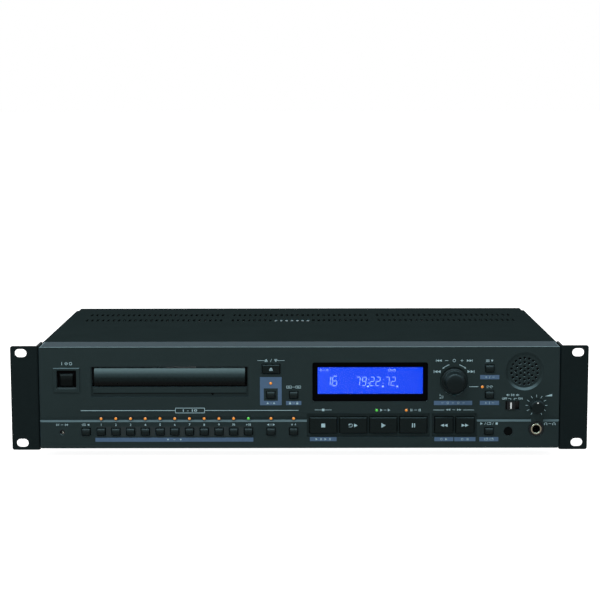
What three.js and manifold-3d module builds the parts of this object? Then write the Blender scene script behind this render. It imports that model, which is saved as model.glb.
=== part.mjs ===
// A two-unit rack disc player: moulded front with keys, knobs, lamps and a display, a tray loader
// behind it, and a vented steel case with sockets at the back.
// Millimetres. x runs to the right, y runs back from the face of the front panel, z runs up from the
// lower edge of the rack ears. The outer group moves this to the middle of the footprint, feet on zero.
import * as THREE from "three";
import { mergeVertices } from "three/addons/utils/BufferGeometryUtils.js";
import Module from "manifold-3d";

// General sizes
const fit = 0.3;
const overrun = 2;
const weldReach = 0.0001;
const roundSides = 18;
const smallSides = 8;
const lampSides = 6;
const cornerSteps = 2;

// Rack standard and ears
const rackWidth = 482.6;
const rackPitch = 44.45;
const rackUnits = 2;
const rackRelief = 0.8;
const earWidth = 23.35;
const earThick = 2;
const earDepth = 26;
const earCorner = 1.8;
const earBend = 2.2;
const earBendSteps = 3;
const slotInsetX = 8.75;
const slotInsetZ = 5.95;
const slotLength = 10;
const slotHeight = 7;

// Case
const bodyFoot = 1;
const headGap = 0.6;
const coverSheet = 1;
const coverBend = 1.6;
const caseProud = 1.2;
const panelStep = 0.2;
const panelDepth = 31.5;
const coverGap = 0.5;
const bodyDepth = 267;
const reliefLength = 18;
const reliefInset = 3;
const sheet = 1.2;
const lipWidth = 8;
const rearInset = 4;
const rearReturn = 13;
const tabStart = 6;
const stripStart = 16;

// Vents in the cover
const ventLength = 15;
const ventWidth = 2.2;
const ventPitch = 5;
const ventCount = 26;
const ventGroupShares = [-0.3125, 0, 0.3125];
const ventRowShares = [0.655, 0.802];

// Vents in the floor
const floorVentLength = 26;
const floorVentWidth = 3;
const floorVentPitch = 9;
const floorVentCount = 14;

// Feet
const footHeight = 7.4;
const footRadius = 10;
const footTaper = 1.2;
const footShareX = 0.42;
const footShareFront = 0.235;
const footShareRear = 0.88;

// Front panel
const faceSkin = 3;
const wallSkin = 2.2;
const faceRound = 1.2;
const faceCorner = 1.6;
const grooveDepth = 1.5;
const grooveTopShare = 0.3246;
const grooveDeepShare = 0.2872;
const grooveFootShare = 0.269;
const grooveBreakShares = [0.446, 0.4692];
const postRadius = 3;
const postShares = [
  [-0.481, 0.88],
  [-0.481, 0.34],
  [-0.0765, 0.36],
  [-0.2251, 0.431],
  [0, 0.92],
  [0.379, 0.318],
  [0.378, 0.91],
];

// Front board behind the panel
const boardSpace = 9;
const boardThick = 1.6;
const boardEdge = 1;
const switchSize = 6;
const switchHeight = 3.5;
const stemSize = 2.6;
const stemEntry = 1;
const lampRadius = 1.45;
const lampProud = 0.2;

// Keys
const keyFlange = 0.8;
const keyFlangeRim = 1.05;
const keyChamfer = 0.5;
const keyGap = 0.7;
const smallKeyWidth = 6.4;
const smallKeyHeight = 5.4;
const smallKeyProud = 1.4;
const smallKeyTravel = 0.6;
const wideKeyWidth = 14.4;
const wideKeyHeight = 7.2;
const wideKeyProud = 1.6;
const wideKeyTravel = 0.8;

// Shares of the panel's width from its middle, and of the ears' height from their foot
const openCloseHeightShare = 0.7787;
const shiftHeightShare = 0.5289;
const displayHeightShare = 0.5284;
const clearShares = [-0.4111, 0.1754];
const cueShares = [-0.0547, 0.1754];
const flashShares = [-0.0111, 0.1754];
const playModeShares = [0.3651, 0.1771];
const menuHeightShare = 0.7798;
const jogHeightShare = 0.5278;
const numberFirstShare = -0.382;
const numberPitchShare = 0.02838;
const numberCount = 11;
const rowLampShare = 0.3019;
const shiftLampHeightShare = 0.6413;
const playLampShares = [0.1487, 0.3802];
const pauseLampShares = [0.2057, 0.3802];
const jogLampShares = [0.3513, 0.6039];

// How the room left between neighbours in the upper row is shared out
const powerRoomShares = [0.563, 0.437];
const openCloseRoomShares = [0.347, 0.653];
const shiftRoomShares = [0.4381, 0.2675, 0.2944];
const dialRoomShares = [0.3197, 0.4277, 0.2526];

// Transport keys in their shallow well
const wellShares = [0.1781, 0.2352];
const wellWidthShare = 0.3272;
const wellHeight = 20.1;
const wellDepth = 1.5;
const wellEdge = 2.3;
const transportGap = 2.45;
const dividerWidth = 1.8;
const searchShare = 0.67;
const transportMargin = 3.4;
const transportProud = 1;
const transportTravel = 0.9;

// Power key in its raised frame
const bezelHeightShare = 0.672;
const bezelWidth = 22.4;
const bezelHeight = 21.1;
const bezelProud = 1;
const bezelBevel = 0.6;
const pocketWidth = 16.6;
const pocketHeight = 15.8;
const pocketDraft = 0.4;
const pocketSlope = 1.3;
const pocketRise = 0.6;
const pocketDepth = 2.4;
const powerWidth = 10.7;
const powerHeight = 10.3;
const powerSink = 0.2;
const powerTravel = 3.5;
const powerStem = 5;
const powerSwitch = 13;
const powerSwitchFront = 3.8;
const powerSwitchDepth = 12;

// Selector dial with its push spindle
const dialHeightShare = 0.6617;
const dialRecessRadius = 12;
const dialRecessDepth = 1.5;
const dialSkirtRadius = 10.6;
const dialSkirtThick = 1.4;
const dialRootRadius = 8.6;
const dialTopRadius = 7.7;
const dialProud = 13;
const dialChamfer = 0.7;
const dialFlutes = 18;
const fluteDepth = 0.35;
const spindleRadius = 2.2;
const spindlePush = 0.6;
const spindleEntry = 3;
const knobCap = 2.7;
const bushRadius = 3.5;
const bushFront = 1.8;
const encoderSize = 12;
const encoderHeight = 5;

// Level knob on its rotary control
const levelShares = [0.4559, 0.4245];
const levelRadius = 6;
const levelTopRadius = 5.5;
const levelProud = 10;
const levelLift = 0.5;
const levelFlutes = 14;
const levelShaftRadius = 3;
const levelCap = 1.6;
const potRadius = 8;
const potHeight = 6.5;

// Speaker grille and driver
const speakerShares = [0.4324, 0.752];
const dishFloorRadius = 14.1;
const dishRimRadius = 16.1;
const dishDepth = 1.8;
const grilleHoleRadius = 1.2;
const grilleRing = 3.69;
const grilleRings = 3;
const grilleRingHoles = 6;
const driverRadius = 17;
const driverRim = 1.6;
const driverBackRadius = 9;
const driverDepth = 13;
const driverCone = 3;

// Speaker switch
const switchShares = [0.4097, 0.4245];
const switchOpeningWidth = 11.8;
const switchOpeningHeight = 7.5;
const leverWidth = 6.4;
const leverProud = 1.1;
const leverTravel = 2.6;
const leverFlange = 1.4;
const slideCaseWidth = 17;
const slideCaseHeight = 9;
const slideCaseFront = 5.5;
const slideStem = 3;
const slideStemEntry = 1.5;

// Display
const lcdShares = [0.136, 0.6527];
const lcdWidth = 96.1;
const lcdHeight = 32.4;
const lcdThick = 1.5;
const lcdSink = 0.1;
const lcdCorner = 1.5;
const lcdLedge = 3;
const lcdModuleEdge = 1;

// Remote-sensor window, phones socket and remote socket
const irShares = [0.4021, 0.1759];
const irRadius = 3.65;
const irRim = 1.2;
const irRimThick = 1;
const irSensor = 6;
const phonesShares = [0.4559, 0.1975];
const phonesCollarRadius = 6.25;
const phonesCollarProud = 0.6;
const phonesRingRadius = 4.98;
const phonesRingProud = 1.2;
const phonesBoreRadius = 3.25;
const phonesBoreDepth = 25;
const phonesBody = 14;
const phonesBodyDepth = 25;
const remoteShares = [-0.4575, 0.1703];
const remoteRadius = 2.25;
const remoteBarrel = 1.95;
const remoteBoreRadius = 1.3;
const remoteBody = 8;

// Disc tray and its door
const trayShares = [-0.2491, 0.7043];
const trayWidth = 124;
const trayThick = 6.3;
const trayRise = 1.6;
const trayRear = 34;
const trayCorner = 6;
const trayTravel = 128;
const doorHeight = 14.9;
const doorThick = 2.2;
const doorOverhang = 1;
const doorGapX = 2.05;
const doorGapZ = 0.7;
const sillGap = 1.1;
const trayNose = 3.5;
const trayNoseHeight = 10.8;
const discRadius = 60;
const discPlay = 0.5;
const discFront = 2;
const discDrop = 3.6;
const smallDiscRadius = 40.5;
const smallDiscDrop = 1.2;
const hubHoleRadius = 19;
const keyholeWidth = 34;
const recessMargin = 0.8;
const recessDepth = 1.4;
const recessDrop = 8.4;
const recessHead = 0.35;
const ledgeDrop = 5.1;
const ledgeSink = 0.3;
const ejectRadius = 1;
const ejectShares = [-0.1672, 0.5369];

// Loader frame
const framePlay = 0.6;
const frameWall = 2.5;
const frameDeep = 20;
const frameRise = 3.6;
const railWidth = 5;
const railThick = 2.5;
const guideWidth = 1.4;
const guideThick = 2;
const frameStart = 14.3;
const frameTail = 15;
const legSize = 9;
const windowHalf = 42;
const windowFront = 36;
const bearingWidth = 8;
const bearingDepth = 12;
const bearingHeight = 14;

// Traverse: deck, turntable and pickup, tilted down while parked
const tiltDegrees = 5;
const pivotBack = 13;
const deckHalf = 39;
const deckThick = 3;
const deckDrop = 10.7;
const deckFront = 28.5;
const trunnionRadius = 2.5;
const trunnionReach = 7;
const motorRadius = 12;
const motorHeight = 9;
const spinShaftRadius = 1.5;
const turntableRadius = 14.5;
const turntableThick = 1.4;
const discLift = 1.5;
const hubRadius = 7.3;
const hubHeight = 2.5;
const hubTaper = 1.3;
const neckRadius = 4.5;
const sledInner = 27;
const sledTravel = 34;
const sledLength = 20;
const sledHalf = 25;
const sledThick = 5.4;
const sledLift = 0.6;
const sledKeelHalf = 16;
const sledKeelDepth = 7;
const rodRadius = 1.5;
const rodOffset = 21;
const rodLift = 3;
const rodPillar = 4;
const rodPillarWidth = 5;
const rodEnd = 1.5;
const lensHousing = 15;
const lensHousingHeight = 3;
const lensRadius = 4;
const lensTop = 0.4;

// Clamp above the tray
const bridgeSheet = 1.2;
const bridgeLength = 52;
const bridgeLip = 5;
const clampHoleRadius = 9.2;
const clampNeckGap = 0.7;
const clampFlangeRadius = 13;
const clampFlange = 1.5;
const clampPadRadius = 15;
const clampPad = 4;
const clampPadLift = 2.3;

// Main board on the floor, at the right
const standoff = 6;
const standoffRadius = 3.2;
const standoffInset = 6;
const mainShares = [-0.06, 0.475];
const mainFrontShare = 0.17;
const mainBackGap = 5;
const chipPlaceShares = [
  [0.14, 0.2, 0.09, 0.1],
  [0.3, 0.45, 0.11, 0.15],
  [0.52, 0.22, 0.07, 0.08],
  [0.66, 0.5, 0.08, 0.12],
  [0.12, 0.7, 0.06, 0.08],
];
const chipHeight = 2.4;
const canPlaceShares = [
  [0.86, 0.15],
  [0.86, 0.3],
  [0.78, 0.2],
  [0.44, 0.75],
  [0.56, 0.68],
];
const canRadius = 4;
const canHeight = 12;

// Power supply on the floor, behind the loader
const supplyShares = [-0.375, -0.085];
const supplyFront = 10;
const coreHeight = 34;
const coilInset = 6;
const coreShareX = 0.3;
const coreWidthShare = 0.38;
const coreDepthShare = 0.58;
const coilDepthShare = 0.72;
const reservoirShare = 0.159;
const reservoirHeight = 30;
const reservoirShares = [0.66, 0.86];
const reservoirShareY = 0.4;

// Sockets at the back
const jackShareX = 0.215;
const jackShareZ = 0.42;
const jackPitch = 14;
const jackCount = 4;
const jackBlock = 12;
const jackBlockDepth = 15;
const jackRadius = 4.15;
const jackBore = 1.7;
const jackProud = 8;
const portShareX = 0.07;
const portShareZ = 0.26;
const portWidth = 17;
const portHeight = 9;
const portProud = 5.5;
const portBlockWidth = 31;
const portBlockHeight = 12;
const portBlockDepth = 12;
const balancedShareZ = 0.52;
const balancedShares = [0.325, 0.405];
const balancedWidth = 26;
const balancedHeight = 31;
const balancedFlange = 2;
const balancedCorner = 3;
const cupRadius = 11.5;
const cupBore = 9.6;
const cupBodyDepth = 20;
const cupBoreDepth = 12;
const contactRadius = 1.2;
const contactCircle = 4.8;
const contactSink = 3;
const contactCount = 3;
const inletShares = [-0.43, 0.33];
const inletWidth = 31;
const inletHeight = 24;
const inletFlange = 1.6;
const inletBodyWidth = 27.4;
const inletBodyHeight = 20;
const inletBodyDepth = 22;
const inletBoreWidth = 24.6;
const inletBoreHeight = 17;
const inletBoreDepth = 15;
const inletCorner = 4;
const bladeThick = 2;
const bladeHeight = 4;
const bladeLength = 12;
const bladePitch = 7;
const bladeStep = 2;

// Places that follow from the sizes
const earHeight = rackUnits * rackPitch - rackRelief;
const bodyWidth = rackWidth - 2 * (earWidth + fit);
const bodyHalf = bodyWidth / 2;
const caseHalf = bodyHalf + caseProud;
const coverTop = earHeight - headGap;
const panelTop = coverTop - panelStep;
const coverFront = panelDepth + coverGap;
const sidesBack = bodyDepth - reliefLength;
const rearFace = bodyDepth - rearInset;
const rearInside = rearFace - sheet;
const floorTop = bodyFoot + sheet;
const boardFront = faceSkin + boardSpace;
const boardBack = boardFront + boardThick;
const switchFront = boardFront - switchHeight;
const chassisHalf = caseHalf - coverSheet - fit;
const tabHalf = bodyHalf - wallSkin - fit;
const boardHalf = tabHalf - sheet - fit;
const trayX = bodyWidth * trayShares[0];
const doorMiddle = earHeight * trayShares[1];
const doorFoot = doorMiddle - doorHeight / 2;
const slotFoot = doorFoot - sillGap;
const slotTop = doorFoot + doorHeight + doorGapZ;
const trayFoot = doorFoot + trayRise;
const trayTop = trayFoot + trayThick;
const trayFront = doorThick + fit;
const discY = trayFront + trayNose + discFront + discPlay + discRadius;
const trayBack = discY + discRadius + trayRear;
const trayHalf = trayWidth / 2;
const discBed = trayTop - discDrop;
const frameHalf = trayHalf + framePlay;
const frameFoot = trayFoot - frameDeep;
const frameTop = slotTop + frameRise;
const frameBack = trayBack + frameTail;
const deckTop = trayFoot - deckDrop + deckThick / 2;
const deckFoot = deckTop - deckThick;
const pivotY = trayBack - pivotBack;
const pivotZ = deckTop - deckThick / 2;
const tilt = THREE.MathUtils.degToRad(tiltDegrees);
const standTop = floorTop + standoff;

const across = (share) => bodyWidth * share;
const up = (share) => earHeight * share;
const spot = ([shareX, shareZ]) => [across(shareX), up(shareZ)];
const around = (middle, size) => [middle - size / 2, middle + size / 2];

// The middles of pieces of the given widths between two edges, with the room that they leave shared out.
function spread(from, to, widths, roomShares) {
  const room = to - from - widths.reduce((sum, width) => sum + width, 0);
  let edge = from;
  return widths.map((width, index) => {
    edge += room * roomShares[index];
    const middle = edge + width / 2;
    edge += width;
    return middle;
  });
}

const recessHalf = trayHalf + doorOverhang + doorGapX + recessMargin;
const flangeWidth = smallKeyWidth + 2 * keyFlangeRim;
const lcdX = across(lcdShares[0]);
const doorRight = trayX + trayHalf + doorOverhang;
const lcdLeft = lcdX - lcdWidth / 2;
const lcdRight = lcdX + lcdWidth / 2;
const driverLeft = across(speakerShares[0]) - driverRadius;
const [bezelX] = spread(-bodyHalf, trayX - recessHalf, [bezelWidth], powerRoomShares);
const [openCloseX] = spread(doorRight, lcdLeft, [wideKeyWidth], openCloseRoomShares);
const [shiftX, displayX] = spread(doorRight, lcdLeft, [flangeWidth, flangeWidth], shiftRoomShares);
const [dialX, menuX] = spread(
  lcdRight,
  driverLeft,
  [2 * dialRecessRadius, flangeWidth],
  dialRoomShares,
);
const bezelAt = [bezelX, up(bezelHeightShare)];
const dialAt = [dialX, up(dialHeightShare)];

const library = await Module();
library.setup();

// Solids from three.js shapes

function solidFrom(geometry) {
  const bare = geometry.index ? geometry.toNonIndexed() : geometry.clone();
  bare.deleteAttribute("normal");
  bare.deleteAttribute("uv");
  const welded = mergeVertices(bare, weldReach);
  return new library.Manifold(
    new library.Mesh({
      numProp: 3,
      vertProperties: welded.attributes.position.array,
      triVerts: new Uint32Array(welded.index.array),
    }),
  );
}

function join(...solids) {
  return solids.reduce((whole, next) => whole.add(next));
}

function cut(body, ...tools) {
  return tools.reduce((rest, tool) => rest.subtract(tool), body);
}

function block(xs, ys, zs) {
  const shape = new THREE.BoxGeometry(xs[1] - xs[0], ys[1] - ys[0], zs[1] - zs[0]);
  shape.translate((xs[0] + xs[1]) / 2, (ys[0] + ys[1]) / 2, (zs[0] + zs[1]) / 2);
  return solidFrom(shape);
}

// A round bar or cone along y; the first radius is the one nearer the face.
function barY(radii, ys, [x, z], sides = roundSides) {
  const [front, back] = [radii].flat().length === 2 ? radii : [radii, radii];
  const shape = new THREE.CylinderGeometry(back, front, ys[1] - ys[0], sides);
  shape.translate(x, (ys[0] + ys[1]) / 2, z);
  return solidFrom(shape);
}

// A round bar or cone along z; the first radius is the lower one.
function barZ(radii, zs, [x, y], sides = roundSides) {
  const [lower, upper] = [radii].flat().length === 2 ? radii : [radii, radii];
  const shape = new THREE.CylinderGeometry(upper, lower, zs[1] - zs[0], sides);
  shape.rotateX(Math.PI / 2);
  shape.translate(x, y, (zs[0] + zs[1]) / 2);
  return solidFrom(shape);
}

function barX(radius, xs, [y, z], sides = smallSides) {
  const shape = new THREE.CylinderGeometry(radius, radius, xs[1] - xs[0], sides);
  shape.rotateZ(Math.PI / 2);
  shape.translate((xs[0] + xs[1]) / 2, y, z);
  return solidFrom(shape);
}

function outline(points) {
  return new THREE.Shape(points.map(([a, b]) => new THREE.Vector2(a, b)));
}

function roundedOutline([a, b], width, height, radius) {
  const [left, right] = around(a, width);
  const [low, high] = around(b, height);
  const shape = new THREE.Shape();
  shape.moveTo(left + radius, low);
  shape.absarc(right - radius, low + radius, radius, -Math.PI / 2, 0);
  shape.absarc(right - radius, high - radius, radius, 0, Math.PI / 2);
  shape.absarc(left + radius, high - radius, radius, Math.PI / 2, Math.PI);
  shape.absarc(left + radius, low + radius, radius, Math.PI, 1.5 * Math.PI);
  return shape;
}

function extruded(shape, length, steps = cornerSteps) {
  return new THREE.ExtrudeGeometry(shape, {
    depth: length,
    bevelEnabled: false,
    curveSegments: steps,
  });
}

// An outline in x and z, drawn back along y.
function alongY(shape, ys, steps) {
  const geometry = extruded(shape, ys[1] - ys[0], steps);
  geometry.rotateX(Math.PI / 2);
  geometry.translate(0, ys[1], 0);
  return solidFrom(geometry);
}

// An outline in x and y, drawn up along z.
function alongZ(shape, zs, steps) {
  const geometry = extruded(shape, zs[1] - zs[0], steps);
  geometry.translate(0, 0, zs[0]);
  return solidFrom(geometry);
}

// An outline in y and z, drawn across along x.
function alongX(shape, xs, steps) {
  const geometry = extruded(shape, xs[1] - xs[0], steps);
  geometry.applyMatrix4(
    new THREE.Matrix4().makeBasis(
      new THREE.Vector3(0, 1, 0),
      new THREE.Vector3(0, 0, 1),
      new THREE.Vector3(1, 0, 0),
    ),
  );
  geometry.translate(xs[0], 0, 0);
  return solidFrom(geometry);
}

// A block along y whose front is rounded or chamfered by the given edge.
function pillow(shape, ys, edge, steps) {
  const geometry = new THREE.ExtrudeGeometry(shape, {
    depth: ys[1] - ys[0],
    bevelEnabled: true,
    bevelThickness: edge,
    bevelSize: edge,
    bevelOffset: -edge,
    bevelSegments: steps,
    curveSegments: cornerSteps,
  });
  geometry.rotateX(Math.PI / 2);
  geometry.translate(0, ys[1] + edge, 0);
  return solidFrom(geometry);
}

// A profile of [radius, place along the axis] turned round the y axis line at [x, z].
function turnedY(profile, [x, z], sides = roundSides) {
  const geometry = new THREE.LatheGeometry(
    profile.map(([radius, place]) => new THREE.Vector2(radius, place)),
    sides,
  );
  geometry.translate(x, 0, z);
  return solidFrom(geometry);
}

function turnedZ(profile, [x, y], sides = roundSides) {
  const geometry = new THREE.LatheGeometry(
    profile.map(([radius, place]) => new THREE.Vector2(radius, place)),
    sides,
  );
  geometry.rotateX(Math.PI / 2);
  geometry.translate(x, y, 0);
  return solidFrom(geometry);
}

function rectangle([x, z], width, height) {
  const [left, right] = around(x, width);
  const [low, high] = around(z, height);
  return outline([
    [left, low],
    [right, low],
    [right, high],
    [left, high],
  ]);
}

// A round outline with shallow grip flutes.
function flutedOutline(radius, depth, count) {
  const points = [];
  for (let step = 0; step < 2 * count; step += 1) {
    const reach = step % 2 === 0 ? radius : radius - depth;
    const angle = (step / count) * Math.PI;
    points.push([reach * Math.cos(angle), reach * Math.sin(angle)]);
  }
  return outline(points);
}

// Finishes

function finish(color, roughness, metalness) {
  return new THREE.MeshStandardMaterial({ color, roughness, metalness });
}

const finishes = {
  panel: finish(0x263232, 0.5, 0.1),
  paint: finish(0x202a2c, 0.55, 0.3),
  ear: finish(0x1c2324, 0.5, 0.4),
  steel: finish(0x9aa0a2, 0.4, 0.8),
  key: finish(0x2c3638, 0.5, 0.05),
  gloss: finish(0x10181a, 0.15, 0.1),
  glass: finish(0x080c10, 0.08, 0),
  plastic: finish(0x16191b, 0.6, 0),
  board: finish(0x1d5a34, 0.6, 0),
  display: finish(0x2d55ff, 0.4, 0),
  knob: finish(0x232c2e, 0.45, 0.1),
  rubber: finish(0x111213, 0.9, 0),
  nickel: finish(0xb8b09a, 0.3, 0.9),
};

function piece(name, solid, material, place = [0, 0, 0]) {
  const made = solid.getMesh();
  const shape = new THREE.BufferGeometry();
  shape.setAttribute("position", new THREE.Float32BufferAttribute(made.vertProperties, 3));
  shape.setIndex(new THREE.Uint32BufferAttribute(made.triVerts, 1));
  const faceted = shape.toNonIndexed();
  faceted.computeVertexNormals();
  const mesh = new THREE.Mesh(faceted, material);
  mesh.name = name;
  mesh.position.set(...place);
  return mesh;
}

// Where every key, lamp and post stands

const transportWidth = across(wellWidthShare) - 2 * wellEdge - 2 * transportGap - dividerWidth;
const transportKey = (transportWidth - 4 * transportGap) / (4 + 2 * searchShare);
const searchKey = transportKey * searchShare;
const transportHeight = wellHeight - 2 * transportMargin;

function transportPlaces() {
  const [wellX, wellZ] = spot(wellShares);
  const names = ["stop_key", "call_key", "play_key", "pause_key", "search_back_key", "search_forward_key"];
  const places = [];
  let edge = wellX - across(wellWidthShare) / 2 + wellEdge;
  names.forEach((name, index) => {
    const width = index < 4 ? transportKey : searchKey;
    places.push({ name, width, at: [edge + width / 2, wellZ] });
    edge += width + transportGap;
    if (index === 3) {
      edge += dividerWidth + transportGap;
    }
  });
  return places;
}

function dividerX() {
  const pause = transportPlaces()[3];
  return pause.at[0] + pause.width / 2 + transportGap + dividerWidth / 2;
}

const smallKey = {
  width: smallKeyWidth,
  height: smallKeyHeight,
  proud: smallKeyProud,
  travel: smallKeyTravel,
};

function numberX(index) {
  return across(numberFirstShare + index * numberPitchShare);
}

const numberNames = ["1", "2", "3", "4", "5", "6", "7", "8", "9", "10", "plus_10"];

const keys = [
  ...numberNames.slice(0, numberCount).map((label, index) => ({
    name: `number_${label}_key`,
    at: [numberX(index), up(clearShares[1])],
    ...smallKey,
  })),
  { name: "clear_key", at: spot(clearShares), ...smallKey },
  { name: "cue_key", at: spot(cueShares), ...smallKey },
  { name: "flash_key", at: spot(flashShares), ...smallKey },
  { name: "shift_key", at: [shiftX, up(shiftHeightShare)], ...smallKey },
  { name: "display_key", at: [displayX, up(displayHeightShare)], ...smallKey },
  { name: "play_mode_key", at: spot(playModeShares), ...smallKey },
  { name: "menu_key", at: [menuX, up(menuHeightShare)], ...smallKey },
  { name: "jog_key", at: [menuX, up(jogHeightShare)], ...smallKey },
  {
    name: "open_close_key",
    at: [openCloseX, up(openCloseHeightShare)],
    width: wideKeyWidth,
    height: wideKeyHeight,
    proud: wideKeyProud,
    travel: wideKeyTravel,
  },
  ...transportPlaces().map((key) => ({
    ...key,
    height: transportHeight,
    proud: transportProud,
    travel: transportTravel,
  })),
];

const lamps = [
  ...numberNames.slice(0, numberCount).map((label, index) => [numberX(index), up(rowLampShare)]),
  [across(cueShares[0]), up(rowLampShare)],
  [across(flashShares[0]), up(rowLampShare)],
  [shiftX, up(shiftLampHeightShare)],
  spot(playLampShares),
  spot(pauseLampShares),
  spot(jogLampShares),
];

const leverAt = [across(switchShares[0]) - leverTravel / 2, up(switchShares[1])];
const jackX = across(jackShareX);
const jackZ = up(jackShareZ);

// Rack ears: an angle with rounded outer corners and four screw slots

function ear(side) {
  const inner = bodyHalf + fit;
  const bend = [];
  for (let step = 0; step <= earBendSteps; step += 1) {
    const turn = ((step / earBendSteps) * Math.PI) / 2;
    bend.push([inner + earBend * (1 - Math.sin(turn)), earBend * (1 - Math.cos(turn))]);
  }
  const angle = [
    ...bend.reverse(),
    [inner + earWidth, 0],
    [inner + earWidth, earThick],
    [inner + earThick, earThick],
    [inner + earThick, earDepth],
    [inner, earDepth],
  ].map(([x, y]) => [side * x, y]);
  const bar = alongZ(outline(side > 0 ? angle : angle.reverse()), [0, earHeight]);
  const width = earWidth + earCorner;
  const face = roundedOutline(
    [side * (inner + earWidth - width / 2), earHeight / 2],
    width,
    earHeight,
    earCorner,
  );
  const trimmed = bar.intersect(alongY(face, [-overrun, earDepth + overrun]));
  const slotX = side * (rackWidth / 2 - slotInsetX);
  const slots = [slotInsetZ, earHeight - slotInsetZ].map((z) =>
    alongY(
      roundedOutline([slotX, z], slotLength, slotHeight, slotHeight / 2 - weldReach),
      [-overrun, earThick + overrun],
    ),
  );
  return cut(trimmed, ...slots);
}

// Front panel: a moulded tub, open at the back, with recesses, a groove and a grille

function keyHole(key) {
  const shape = rectangle(key.at, key.width + 2 * keyGap, key.height + 2 * keyGap);
  return alongY(shape, [-overrun, faceSkin + overrun]);
}

function speakerDish() {
  const at = spot(speakerShares);
  const dish = turnedY(
    [
      [0, -overrun],
      [dishRimRadius, -overrun],
      [dishRimRadius, 0],
      [dishFloorRadius, dishDepth],
      [0, dishDepth],
    ],
    at,
    2 * roundSides,
  );
  const depths = [dishDepth / 2, faceSkin + overrun];
  const holes = [barY(grilleHoleRadius, depths, at, lampSides)];
  for (let ring = 1; ring <= grilleRings; ring += 1) {
    const count = ring * grilleRingHoles;
    for (let index = 0; index < count; index += 1) {
      const angle = Math.PI / 2 + (index / count) * 2 * Math.PI;
      const reach = ring * grilleRing;
      const place = [at[0] + reach * Math.cos(angle), at[1] + reach * Math.sin(angle)];
      holes.push(barY(grilleHoleRadius, depths, place, lampSides));
    }
  }
  return [dish, ...holes];
}

function grooves() {
  const section = outline([
    [-overrun, up(grooveFootShare)],
    [0, up(grooveFootShare)],
    [grooveDepth, up(grooveDeepShare)],
    [0, up(grooveTopShare)],
    [-overrun, up(grooveTopShare)],
  ].reverse());
  const [left, right] = grooveBreakShares.map(across);
  return join(
    alongX(section, [-bodyHalf - overrun, left]),
    alongX(section, [right, bodyHalf + overrun]),
  );
}

function powerPocket() {
  const at = [bezelAt[0], bezelAt[1] + pocketRise];
  const wide = [pocketWidth, pocketHeight];
  const depth = bezelProud + pocketDepth;
  const cone = new THREE.CylinderGeometry(Math.SQRT1_2, Math.SQRT1_2, depth, 4);
  cone.rotateY(Math.PI / 4);
  const spots = cone.attributes.position;
  for (let index = 0; index < spots.count; index += 1) {
    const [draft, slope] = spots.getY(index) > 0 ? [pocketDraft, pocketSlope] : [0, 0];
    spots.setX(index, spots.getX(index) * (wide[0] - 2 * draft));
    spots.setZ(index, spots.getZ(index) * (wide[1] - draft - slope) + (slope - draft) / 2);
  }
  cone.translate(at[0], pocketDepth - depth / 2, at[1]);
  return solidFrom(cone);
}

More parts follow.
